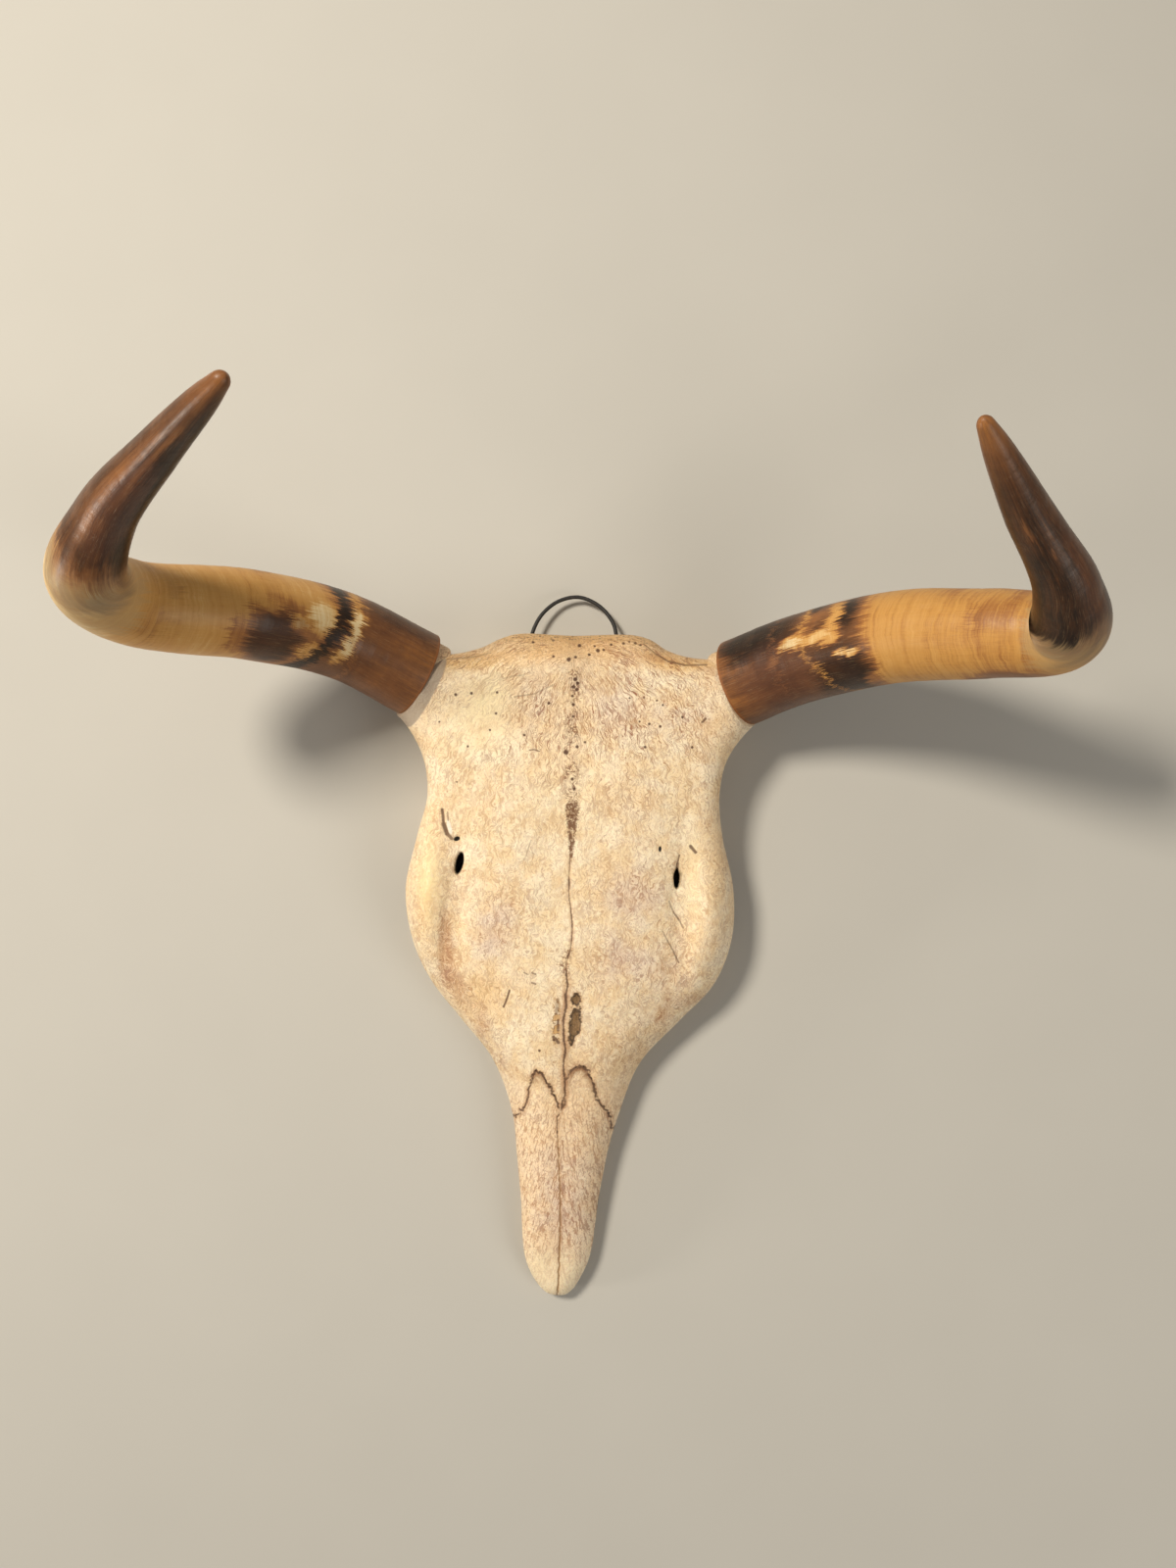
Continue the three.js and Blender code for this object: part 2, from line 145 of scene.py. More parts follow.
# Grooves and cracks that are cut in the face: a line of points, half width and depth.
GROOVES = [
    ([(-73, 14), (-78, -2), (-81.6, -17.7), (-82.7, -41), (-83.4, -63)], 3.2, 0.9),
    ([(73.5, 4), (71, -12), (76, -24), (80, -45), (82, -62)], 3.0, 0.8),
    ([(-84.9, 47.5), (-83.9, 38.5), (-82.2, 32.8), (-78.0, 28.5), (-73.5, 27.6)], 1.5, 1.6),
    ([(-81.0, 46.0), (-79.8, 38.6), (-76.5, 31.5)], 1.0, 0.7),
    ([(-37.5, -73.3), (-39.4, -79.7), (-41.5, -85.2)], 0.9, 0.5),
    ([(74.5, 19.9), (73.5, 14.9), (73.0, 9)], 1.0, 1.1),
    ([(68.5, -10.8), (71.7, -18.2), (76.1, -24.0), (78.7, -29.0)], 0.9, 0.4),
    ([(64.6, -31.1), (68.1, -37.4), (72.5, -45.0), (76.2, -52.6)], 0.9, 0.35),
    ([(-24.8, 28.6), (-26.8, 22.0), (-28.8, 15.3)], 0.9, 0.3),
    ([(47.2, 162), (55.7, 154.1), (63.5, 149.7), (75.2, 147.4), (89.5, 148.4)], 1.2, 0.5),
    ([(-83.7, 148.4), (-54.5, 151.6), (-38.7, 162.7)], 1.4, 0.3),
]
# Pits with steep sides: middle, half sizes, lean in degrees and depth.
PITS = [
    (-73.3, 11.6, 3.1, 8.6, -13, 12), (73.4, 4.6, 2.6, 7.6, 2, 12), (7.3, -78.3, 3.3, 4.6, 0, 1.5),
    (7.1, -97, 3.6, 13, 3, 2), (61.4, 24.9, 1.6, 2.4, 0, 1.3), (83.4, 25, 0.9, 2.8, 48, 0.9),
    (-74.6, 28.2, 3.2, 2.4, 60, 2), (-4.2, -95.3, 0.9, 4.2, 0, 0.5), (-3.8, -107.5, 0.9, 3.6, 0, 0.5),
]

# ---------------------------------------------------------------- horns and wire

LEFT_HORN = dict(
    line=[
        (-105, 139, 42), (-152, 161, 65), (-200.5, 167.5, 113), (-255.1, 166.5, 158), (-266.7, 175, 194),
        (-245, 202, 226), (-203, 227, 266), (-155.7, 248.3, 313.7),
    ],
    girth=[
        (0, 59.5), (0.14, 58), (0.31, 56.5), (0.46, 51), (0.57, 45), (0.67, 33.5), (0.75, 28),
        (0.83, 22.5), (0.94, 15.5), (1, 8),
    ],
    turn=1,
)
RIGHT_HORN = dict(
    line=[
        (113.5, 138, 42), (149, 152, 65), (202, 163, 109), (247.5, 161, 150), (278.5, 160, 181),
        (268, 178, 211), (231, 211, 250), (193, 243, 294),
    ],
    girth=[
        (0, 60), (0.14, 59), (0.31, 57.5), (0.46, 53), (0.57, 47), (0.67, 35.5), (0.75, 28.5),
        (0.83, 24), (0.94, 15), (1, 7),
    ],
    turn=-1,
)
LOOK_AHEAD = 0.004  # share of a horn's or the wire's line over which its direction is taken
SHEATH_WALL = 3.4
SHEATH_DEPTH = 10.0  # how far in the sheath is open behind its rim
SAW_AHEAD = 0.4  # how far beyond a horn's root the plate is sawn off
CORE_RADIUS = 25.6
CORE_LENGTH = 19
CORE_SET_BACK = 1.5  # how far behind a horn's root the middle of its core lies
CORE_BEVEL = 1.6
CORE_SIDES = 64
SHEATH_SIDES = 96
TIP_ROUNDING = 0.012  # share of the horn's length that rounds off its tip
LIP_END = 1.6  # where the evenly spaced rings of a sheath begin
RING_STEP = 1.15  # between the rings of a sheath
WIRE_LINE = [
    (-30, 157, 12), (-30, 161.5, 12), (-30, 166, 12), (-30, 171, 12), (-24, 185, 11), (-12, 196, 9),
    (3, 199.5, 8), (18, 193, 9), (27.6, 181, 11), (30, 171, 12), (30, 166, 12), (30, 161.5, 12),
    (30, 157, 12),
]
WIRE_RADIUS = 1.35

# ---------------------------------------------------------------- smooth lines and tables


def stations(table):
    """A smooth curve through (place, value) stations that never overshoots, for arrays of places."""
    x = np.array([place for place, _ in table], float)
    y = np.array([value for _, value in table], float)
    secant = np.diff(y) / np.diff(x)
    slope = np.zeros(len(x))
    slope[0], slope[-1] = secant[0], secant[-1]
    before, after = secant[:-1], secant[1:]
    same = before * after > 0
    slope[1:-1][same] = 2 * before[same] * after[same] / (before[same] + after[same])

    def value_at(at):
        t = np.clip(at, x[0], x[-1])
        i = np.clip(np.searchsorted(x, t, side="right") - 1, 0, len(x) - 2)
        h = x[i + 1] - x[i]
        s = (t - x[i]) / h
        return ((2 * s**3 - 3 * s**2 + 1) * y[i] + (s**3 - 2 * s**2 + s) * h * slope[i]
                + (3 * s**2 - 2 * s**3) * y[i + 1] + (s**3 - s**2) * h * slope[i + 1])

    return value_at


def smooth_line(points, per_span=80):
    """A centripetal Catmull-Rom line through points, as closely spaced points."""
    p = np.array(points, float)
    p = np.vstack([2 * p[0] - p[1], p, 2 * p[-1] - p[-2]])
    spans = []
    for p0, p1, p2, p3 in zip(p, p[1:], p[2:], p[3:]):
        d0, d1, d2 = (max(np.sum(d**2) ** 0.25, 1e-6) for d in (p1 - p0, p2 - p1, p3 - p2))
        out = ((p1 - p0) / d0 - (p2 - p0) / (d0 + d1) + (p2 - p1) / d1) * d1
        into = ((p2 - p1) / d1 - (p3 - p1) / (d1 + d2) + (p3 - p2) / d2) * d1
        w = np.linspace(0, 1, per_span, endpoint=False)[:, None]
        spans.append(p1 + out * w + (3 * (p2 - p1) - 2 * out - into) * w**2
                     + (2 * (p1 - p2) + out + into) * w**3)
    return np.vstack([*spans, p[-2][None]])


def shares_of(line):
    """The share of a line's length at each of its points."""
    run = np.concatenate([[0], np.cumsum(np.linalg.norm(np.diff(line, axis=0), axis=1))])
    return run / run[-1]


def length_of(line):
    return float(np.sum(np.linalg.norm(np.diff(line, axis=0), axis=1)))


def along_line(line, share):
    """The points of a line at an array of shares of its length."""
    shares = shares_of(line)
    return np.stack([np.interp(share, shares, line[:, axis]) for axis in range(line.shape[1])], -1)


def above_seam(side, seam_y):
    """The part of a side line from its seam upwards."""
    kept = side[side[:, 1] > seam_y]
    start_x = np.interp(seam_y, side[:, 1], side[:, 0])
    return np.vstack([[start_x, seam_y], kept])


def below_seam(side, seam_y):
    kept = side[side[:, 1] < seam_y]
    end_x = np.interp(seam_y, side[:, 1], side[:, 0])
    return np.vstack([kept, [end_x, seam_y]])


def lines_between(count, length, crowded):
    """Shares from 0 to 1 of grid lines that stand closer together at some (share, width, times)."""
    fine = np.linspace(0, 1, 8001)
    density = 1 + sum(times * np.exp(-np.abs(fine - share) * length / width)
                      for share, width, times in crowded)
    run = np.concatenate([[0], np.cumsum((density[1:] + density[:-1]) / 2)])
    return np.interp(np.linspace(0, 1, count + 1), run / run[-1], fine)


def soft_step(x, low, high):
    t = np.clip((x - low) / (high - low), 0, 1)
    return t * t * (3 - 2 * t)


def swelling(x, y, cx, cy, rx, ry):
    return np.exp(-(((x - cx) / rx) ** 2) - ((y - cy) / ry) ** 2)


def groove(distance, half_width):
    """1 on a line and falling softly to 0 beside it."""
    return np.exp(-((distance / half_width) ** 2))


def distance_to_path(x, y, path):
    """How far points lie from a path of straight steps."""
    nearest = np.full(x.shape, 1e9)
    for (ax, ay), (bx, by) in zip(path, path[1:]):
        dx, dy = bx - ax, by - ay
        t = np.clip(((x - ax) * dx + (y - ay) * dy) / (dx * dx + dy * dy), 0, 1)
        nearest = np.minimum(nearest, np.hypot(x - ax - t * dx, y - ay - t * dy))
    return nearest


def rolling(x, y, size, seed):
    """Gentle random unevenness of about one unit, with hills of a size."""
    return np.array([noise.noise(Vector((a, b, seed))) for a, b in zip(x / size, y / size)])


# ---------------------------------------------------------------- the face as a surface

left_side = smooth_line(LEFT_SIDE)
right_side = smooth_line(RIGHT_SIDE)
nose_tip = smooth_line(NOSE_TIP)
poll_top = smooth_line(POLL_TOP)
forehead_left = above_seam(left_side, LEFT_SEAM_Y)
forehead_right = above_seam(right_side, RIGHT_SEAM_Y)


def jagged(line, much, size):
    """A line with small random teeth, which keeps its two ends."""
    step = np.gradient(line, axis=0)
    aside = np.stack([-step[:, 1], step[:, 0]], -1) / np.linalg.norm(step, axis=1)[:, None]
    run = shares_of(line) * length_of(line)
    teeth = rolling(run, run * 0, size, 5) + 0.6 * rolling(run, run * 0, size * 0.45, 9)
    ends = np.clip(np.minimum(run, run[-1] - run) / 2, 0, 1)
    return line + aside * (teeth * ends * much)[:, None]


left_seam = jagged(smooth_line([tuple(forehead_left[0]), *LEFT_SEAM], 12), *ZIGZAG_TEETH)
right_seam = jagged(smooth_line([*RIGHT_SEAM, tuple(forehead_right[0])], 12), *ZIGZAG_TEETH)
nose_seam = jagged(smooth_line(NOSE_SEAM, 60), *NOSE_TEETH)

edge_height = stations(EDGE)
crown_height = stations(CROWN)
side_fall = stations(FALL)
rounding_width = stations(ROUNDING)
middle_seam = stations(MIDDLE_SEAM)
left_width = stations([(y, -x) for x, y in LEFT_SIDE])
right_width = stations([(y, x) for x, y in RIGHT_SIDE])

BORDER_STEP = 0.2
border_points = np.vstack([
    along_line(line, np.linspace(0, 1, int(length_of(line) / BORDER_STEP)))
    for line in (left_side, right_side, nose_tip, poll_top)
])
border_tree = kdtree.KDTree(len(border_points))
for border_index, border_point in enumerate(border_points):
    border_tree.insert((border_point[0], border_point[1], 0), border_index)
border_tree.balance()


def distance_to_border(x, y):
    found = np.array([border_tree.find((a, b, 0))[2] for a, b in zip(x, y)])
    return np.where(found < BORDER_STEP * 0.6, 0, found)


def pit_share(x, y, pit):
    """0 in the middle of a pit and 1 on its rim."""
    cx, cy, rx, ry, lean, _ = pit
    c, s = math.cos(math.radians(lean)), math.sin(math.radians(lean))
    return np.hypot(((x - cx) * c + (y - cy) * s) / rx, (-(x - cx) * s + (y - cy) * c) / ry)


def face_top(x, y, to_border, to_seam):
    """The height of the bone's outer face."""
    width = np.where(x < 0, left_width(y), right_width(y))
    share = np.minimum(1.1, np.abs(x) / width)
    crown = crown_height(y) - side_fall(y) * share**2.2
    crown += sum(height * swelling(x, y, cx, cy, rx, ry) for cx, cy, rx, ry, height in RELIEF)
    inward = 1 - np.clip(to_border / rounding_width(y), 0, 1)
    edge = edge_height(y)
    top = edge + (crown - edge) * np.sqrt(np.maximum(0, 1 - inward**2))
    inland = soft_step(to_border, 0.5, 9)
    top += inland * sum(height * rolling(x, y, size, seed) for height, size, seed in UNEVENNESS)
    for path, half_width, depth in GROOVES:
        top -= depth * groove(distance_to_path(x, y, path), half_width)
    for pit in PITS:
        top -= pit[5] * (1 - soft_step(pit_share(x, y, pit), 0.45, 1.05))
    middle = np.abs(x - middle_seam(y))
    open_seam = soft_step(y, 24, 10) * soft_step(y, -160, -150)
    top -= open_seam * SEAM_DEPTH * groove(middle, SEAM_WIDTH)
    top -= 0.3 * soft_step(y, 62, 50) * soft_step(y, 10, 22) * groove(middle, 3)
    return top - SEAM_DEPTH * groove(to_seam, SEAM_WIDTH)


def face_under(x, y, to_border, top):
    """The height of the sawn back, its leaning walls and the hollows that open in it."""
    wall = (edge_height(y) - RIM) * (1 - np.clip(to_border / UNDERCUT, 0, 1))
    neck = (np.clip((np.abs(x) - NECK["x"]) / NECK["blend"], 0, 1)
            * np.clip((y - NECK["y"]) / NECK["blend"], 0, 1))
    turned = 1 - np.clip(to_border / NECK["rounding"], 0, 1)
    under = edge_height(y) - RIM - NECK["floor"]
    floor = neck * (NECK["floor"] + under * (1 - np.sqrt(1 - turned**2)))
    height = np.maximum(wall, floor)
    for cx, cy, rx, ry, rz in HOLLOWS:
        inside = np.maximum(0, 1 - ((x - cx) / rx) ** 2 - ((y - cy) / ry) ** 2)
        height = np.maximum(height, rz * np.sqrt(inside))
    return np.minimum(height, top - RIM)


# ---------------------------------------------------------------- making pieces


def pick(*pieces):
    """Selects some pieces and nothing else, with the first of them active."""
    bpy.ops.object.select_all(action="DESELECT")
    for piece in pieces:
        piece.select_set(True)
    if pieces:
        bpy.context.view_layer.objects.active = pieces[0]


def join(*pieces):
    """Makes several pieces one, which keeps the first one's points first."""
    pick(*pieces)
    bpy.ops.object.join()
    return pieces[0]


def fresh_grid(name, across, along):
    """A flat unit grid: its corners lie at (u, v) from 0 to 1 once halved out of the middle."""
    pick()
    bpy.ops.mesh.primitive_grid_add(x_subdivisions=across, y_subdivisions=along, size=1)
    grid = bpy.context.object
    grid.name = name
    return grid


def points_of(piece):
    flat = np.empty(len(piece.data.vertices) * 3)
    piece.data.vertices.foreach_get("co", flat)
    return flat.reshape(-1, 3)


def place_points(piece, points):
    """Gives a piece its points, from millimetres in the skull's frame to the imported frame."""
    piece.data.vertices.foreach_set("co", ((points + np.array(PLACE)) * MM).ravel())
    piece.data.update()


def record(piece, name, values):
    """Keeps one number per point, for the finish to read, or one number for them all."""
    kept = np.empty(len(piece.data.vertices), np.float32)
    kept[:] = values
    piece.data.attributes.new(name, "FLOAT", "POINT").data.foreach_set("value", kept)


def steps_of(values):
    """Which grid line each value is on."""
    return np.unique(np.round(values, 5), return_inverse=True)[1].reshape(values.shape)


def reshape(piece, tool, **settings):
    """Uses one edit mode tool on the whole of a piece."""
    pick(piece)
    bpy.ops.object.mode_set(mode="EDIT")
    bpy.ops.mesh.select_all(action="SELECT")
    tool(**settings)
    bpy.ops.object.mode_set(mode="OBJECT")


def point_outwards(piece):
    reshape(piece, bpy.ops.mesh.normals_make_consistent, inside=False)


def smooth(piece, angle=48):
    """Shades a piece smooth, except at edges sharper than an angle in degrees."""
    pick(piece)
    bpy.ops.object.shade_smooth_by_angle(angle=math.radians(angle))


def coat(piece, material):
    piece.data.materials.clear()
    piece.data.materials.append(material)


# ---------------------------------------------------------------- bone plates


def plan_of(u, v, sides):
    """Points of a plan spanned between four border lines."""
    left, right, bottom, top = (sides[key] for key in ("left", "right", "bottom", "top"))
    ends = np.array([0.0, 1.0])
    low_left, low_right = bottom(ends)
    high_left, high_right = top(ends)
    u2, v2 = u[:, None], v[:, None]
    return ((1 - v2) * bottom(u) + v2 * top(u) + (1 - u2) * left(v) + u2 * right(v)
            - (1 - u2) * (1 - v2) * low_left - u2 * (1 - v2) * low_right
            - (1 - u2) * v2 * high_left - u2 * v2 * high_right)


def sew_rim(piece, top_rim, under_rim):
    """Closes the wall between a rim and one beneath it with half as many points."""
    mesh = bmesh.new()
    mesh.from_mesh(piece.data)
    mesh.verts.ensure_lookup_table()
    count = len(under_rim)
    for i in range(count):
        below, below_next = mesh.verts[under_rim[i]], mesh.verts[under_rim[(i + 1) % count]]
        a, b, c = (mesh.verts[top_rim[(2 * i + k) % (2 * count)]] for k in range(3))
        mesh.faces.new((below, a, b))
        mesh.faces.new((below, b, below_next))
        mesh.faces.new((below_next, b, c))
    mesh.to_mesh(piece.data)
    mesh.free()


def rim_of(u_step, v_step):
    """The points round the edge of a grid, in order."""
    last_u, last_v = u_step.max(), v_step.max()
    index = np.empty((last_v + 1, last_u + 1), int)
    index[v_step, u_step] = np.arange(len(u_step))
    return [*index[0, :-1], *index[:-1, -1], *index[-1, :0:-1], *index[:0:-1, 0]]


def bone_plate(name, sides, u_lines, v_lines, seams, middle=None):
    """A plate of bone between border lines: its face, its sawn back and the wall between them."""
    halves, rims = [], []
    for part, step in (("face", 1), ("back", 2)):
        grid = fresh_grid(name + "_" + part, (len(u_lines) - 1) // step, (len(v_lines) - 1) // step)
        flat = points_of(grid)
        u_step, v_step = steps_of(flat[:, 0]), steps_of(flat[:, 1])
        u, v = u_lines[u_step * step], v_lines[v_step * step]
        plan = plan_of(u, v, sides)
        x, y = plan[:, 0].copy(), plan[:, 1]
        if middle is not None:
            half = plan_of(np.full(len(v_lines), 0.5), v_lines, sides)
            shift = middle(half[:, 1]) - half[:, 0]
            x += np.interp(v, v_lines, shift) * (1 - np.abs(2 * u - 1))
        to_border = distance_to_border(x, y)
        to_seam = np.min([distance_to_path(x, y, seam) for seam in seams], axis=0)
        z = face_top(x, y, to_border, to_seam)
        if part == "back":
            z = face_under(x, y, to_border, z)
        place_points(grid, np.stack([x, y, z], -1))
        record(grid, "to_seam", to_seam)
        record(grid, "to_middle", x - middle_seam(y))
        record(grid, "sawn", part == "back")
        record_stains_and_highlights(grid, x, y)
        halves.append(grid)
        rims.append(rim_of(u_step, v_step))
    face_points = len(points_of(halves[0]))
    piece = join(*halves)
    piece.name = name
    sew_rim(piece, rims[0], [i + face_points for i in rims[1]])
    point_outwards(piece)
    return piece


# Soft stains of the bone, and last the spots of painted highlight where the bone is also glossier: middle,
# half sizes and strength.
STAINS_AND_HIGHLIGHTS = {
    "gold": [
        (0, 164, 52, 9, 0.9), (-80, 148, 30, 8, 0.7), (80, 150, 30, 8, 0.7), (-60, 145, 30, 7, 0.5),
        (-96, -12, 10, 42, 0.55), (99, 0, 10, 46, 0.45), (-104, 75, 9, 40, 0.45), (104, 75, 9, 36, 0.45),
        (64, 149, 20, 8, 0.5), (-55, -70, 26, 22, 0.3), (-84, 30, 12, 40, 0.3), (0, -140, 44, 26, 0.35),
        (-60, -90, 20, 30, 0.3), (50, -110, 20, 24, 0.3), (-20, 150, 26, 7, 0.4),
    ],
    "brown": [
        (-82, -44, 4.5, 20, 0.65), (-80, -63, 8, 12, 0.7), (-71, -78, 8, 12, 0.55),
        (-57, -100, 8, 16, 0.6), (84, -80, 20, 8, 0.5), (66, -92, 10, 10, 0.5), (-82, -40, 5, 24, 0.4),
        (12, 160, 44, 7, 0.5), (56, 151, 26, 4, 0.6), (88, 112, 20, 20, 0.25), (86, 80, 12, 30, 0.25),
        (-68, 150, 30, 4, 0.5), (48, -115, 12, 20, 0.35), (98, 140, 12, 12, 0.35), (77, -35, 5, 24, 0.3),
        (-42, -125, 10, 20, 0.4), (0, -132, 30, 10, 0.35), (0, -75, 10, 50, 0.2),
    ],
    "grey": [
        (-52.6, -38, 16, 20, 0.5), (36, -50, 20, 16, 0.6), (45, -8, 22, 20, 0.6),
        (70, 112, 30, 20, 0.35), (26, 118, 22, 26, 0.4), (-26, 122, 18, 22, 0.4),
        (0, -225, 24, 54, 0.55), (-40, -20, 20, 30, 0.3), (40, 40, 30, 40, 0.2), (70, -60, 20, 20, 0.4),
    ],
    # Painted highlights on the ridges beside the eyes, the upper forehead and the nose tip, where the bone is
    # also glossier.
    "polish": [
        (-92, 2, 6, 26, 1), (-5, -272, 16, 22, 0.7), (0, 60, 26, 26, 0.3), (-70, 100, 20, 16, 0.4),
        (84, 8, 6, 30, 0.8), (-90, -10, 8, 18, 0.5), (-55, 121, 20, 24, 1),
    ],
}


def record_stains_and_highlights(piece, x, y):
    for kind, spots in STAINS_AND_HIGHLIGHTS.items():
        record(piece, kind, sum(much * swelling(x, y, cx, cy, rx, ry) for cx, cy, rx, ry, much in spots))


def root_of(horn):
    """Where a horn leaves the skull, and which way it points there."""
    line = smooth_line(horn["line"])
    ahead = along_line(line, np.array([LOOK_AHEAD]))[0] - line[0]
    return line[0], ahead / np.linalg.norm(ahead)


def saw_at_horn(piece, horn):
    """Cuts the plate off just inside the sheath's rim, and closes the cut."""
    start, out = root_of(horn)
    reshape(piece, bpy.ops.mesh.bisect, plane_co=tuple((start + out * SAW_AHEAD + np.array(PLACE)) * MM),
            plane_no=tuple(out), use_fill=True, clear_outer=True)


def horn_core(name, horn):
    """The round stump of bone inside the open end of a sheath."""
    start, out = root_of(horn)
    middle = (start - out * CORE_SET_BACK + np.array(PLACE)) * MM
    turn = Vector((0, 0, 1)).rotation_difference(Vector(out)).to_euler()
    pick()
    bpy.ops.mesh.primitive_cylinder_add(vertices=CORE_SIDES, radius=CORE_RADIUS * MM, depth=CORE_LENGTH * MM,
                                        location=tuple(middle), rotation=tuple(turn))
    core = bpy.context.object
    core.name = name
    bpy.ops.object.transform_apply(location=True, rotation=True, scale=True)
    reshape(core, bpy.ops.mesh.bevel, offset=CORE_BEVEL * MM, segments=3, affect="EDGES")
    for kind in ("to_seam", "to_middle"):
        record(core, kind, FAR_OFF)
    for kind in ("sawn", *STAINS_AND_HIGHLIGHTS):
        record(core, kind, 0)
    return core


def filler_band(piece, horn, width, strength):
    """How much each point lies in the grey filler that packs the gap before a sheath's rim."""
    start, out = root_of(horn)
    offset = points_of(piece) / MM - np.array(PLACE) - start
    back = -offset @ out
    aside = np.linalg.norm(offset + back[:, None] * out, axis=1)
    return strength * (1 - soft_step(back, width * 0.6, width)) * soft_step(aside, 60, 45)


TOP_END = 0.12  # share of the top row on each horn's stump
poll_middle = float(np.interp(MIDDLE_SEAM[-1][1], poll_top[:, 0], shares_of(poll_top)))


def forehead_top(u):
    left_end, right_end = left_side[-1], right_side[-1]
    share = np.clip((u - TOP_END) / (1 - 2 * TOP_END), 0, 1)
    along_poll = along_line(poll_top, np.interp(share, [0, 0.5, 1], [0, poll_middle, 1]))
    into_left = np.clip(u / TOP_END, 0, 1)[:, None]
    into_right = np.clip((1 - u) / TOP_END, 0, 1)[:, None]
    row = np.where(into_left < 1, left_end + (poll_top[0] - left_end) * into_left, along_poll)
    return np.where(into_right < 1, right_end + (poll_top[-1] - right_end) * into_right, row)


def forehead_bottom(u):
    on_left = along_line(left_seam, np.clip(2 * u, 0, 1))
    on_right = along_line(right_seam, np.clip(2 * u - 1, 0, 1))
    return np.where(u[:, None] <= 0.5, on_left, on_right)


def whole_line(line):
    return lambda share: along_line(line, share)


# Lines of the grids: how many, the length they share out, and where they crowd, as the share of that
# length, the width of the crowd and how many times closer they stand.
FOREHEAD_ACROSS = (216, 230, [(0, 2.5, 6), (1, 2.5, 6), (0.5, 3, 1.5)])
FOREHEAD_ALONG = (300, 335, [(1, 2.5, 5), (0, 2, 3)])
NOSE_ACROSS = (56, 34)
NOSE_ALONG = (220, 150, [(0, 2, 5), (1, 2, 2)])
FAR_OFF = 50.0  # farther from any seam than it can show


def make_forehead():
    sides = dict(left=whole_line(forehead_left), right=whole_line(forehead_right),
                 bottom=forehead_bottom, top=forehead_top)
    plate = bone_plate("forehead", sides, lines_between(*FOREHEAD_ACROSS), lines_between(*FOREHEAD_ALONG),
                       [left_seam[::3], right_seam[::3]], middle_seam)
    for horn in (LEFT_HORN, RIGHT_HORN):
        saw_at_horn(plate, horn)
    join(plate, horn_core("horn_core_left", LEFT_HORN), horn_core("horn_core_right", RIGHT_HORN))
    record(plate, "filler", np.maximum(filler_band(plate, LEFT_HORN, width=9, strength=1.0),
                                       filler_band(plate, RIGHT_HORN, width=3, strength=0.5)))
    return plate


def make_nose_bone(name, outer, tip, root, outer_at):
    """A nose bone between its outer side, at u = 0 or 1, and the seam down the middle of the nose."""
    left, right = (outer, nose_seam) if outer_at == 0 else (nose_seam, outer)
    borders = dict(left=left, right=right, bottom=tip, top=root)
    sides = {key: whole_line(line) for key, line in borders.items()}
    u_lines = lines_between(*NOSE_ACROSS, [(outer_at, 2, 5), (1 - outer_at, 1.5, 1)])
    bone = bone_plate(name, sides, u_lines, lines_between(*NOSE_ALONG), [nose_seam[::6], root[::3]])
    record(bone, "filler", 0)
    record(bone, "nasal", 1)
    return bone


# ---------------------------------------------------------------- horns and wire as swept tubes

SHOWN_SIDE = np.array([12.2, 66.9, 846.0])  # the horns' good side faces this point high above the face


def frames_along(line, share, turn):
    """Centre, facing side and top side of a tube at shares of its line's length."""
    centre = along_line(line, share)
    after, before = (along_line(line, np.clip(share + step, 0, 1)) for step in (LOOK_AHEAD, -LOOK_AHEAD))
    ahead = after - before
    ahead /= np.linalg.norm(ahead, axis=1)[:, None]
    towards = SHOWN_SIDE - centre
    facing = towards - np.sum(towards * ahead, axis=1)[:, None] * ahead
    facing /= np.linalg.norm(facing, axis=1)[:, None]
    return centre, facing, turn * np.cross(ahead, facing)


def swept(name, line, stops, radii, sides, turn=1, uneven=None, inside_rings=0):
    """A closed tube along a line: at each stop its share of the line's length and its radius."""
    tube = fresh_grid(name, sides, len(stops) - 1)
    flat = points_of(tube)
    angle = (steps_of(flat[:, 0]) / sides * 2 - 1) * math.pi
    ring = steps_of(flat[:, 1])
    centre, facing, top = frames_along(line, np.array(stops), turn)
    radius = np.array(radii)[ring]
    share = np.array(stops)[ring]
    if uneven is not None:
        radius = radius * (1 + uneven(share, angle))
    towards_face, towards_top = np.cos(angle), np.sin(angle)
    place_points(tube, centre[ring] + radius[:, None] * (
        towards_face[:, None] * facing[ring] + towards_top[:, None] * top[ring]))
    record(tube, "along", share * length_of(line))
    record(tube, "facing", towards_face)
    record(tube, "topside", towards_top)
    record(tube, "inside", ring < inside_rings)
    return tube


def close_tube(tube):
    reshape(tube, bpy.ops.mesh.remove_doubles, threshold=1e-6)
    point_outwards(tube)


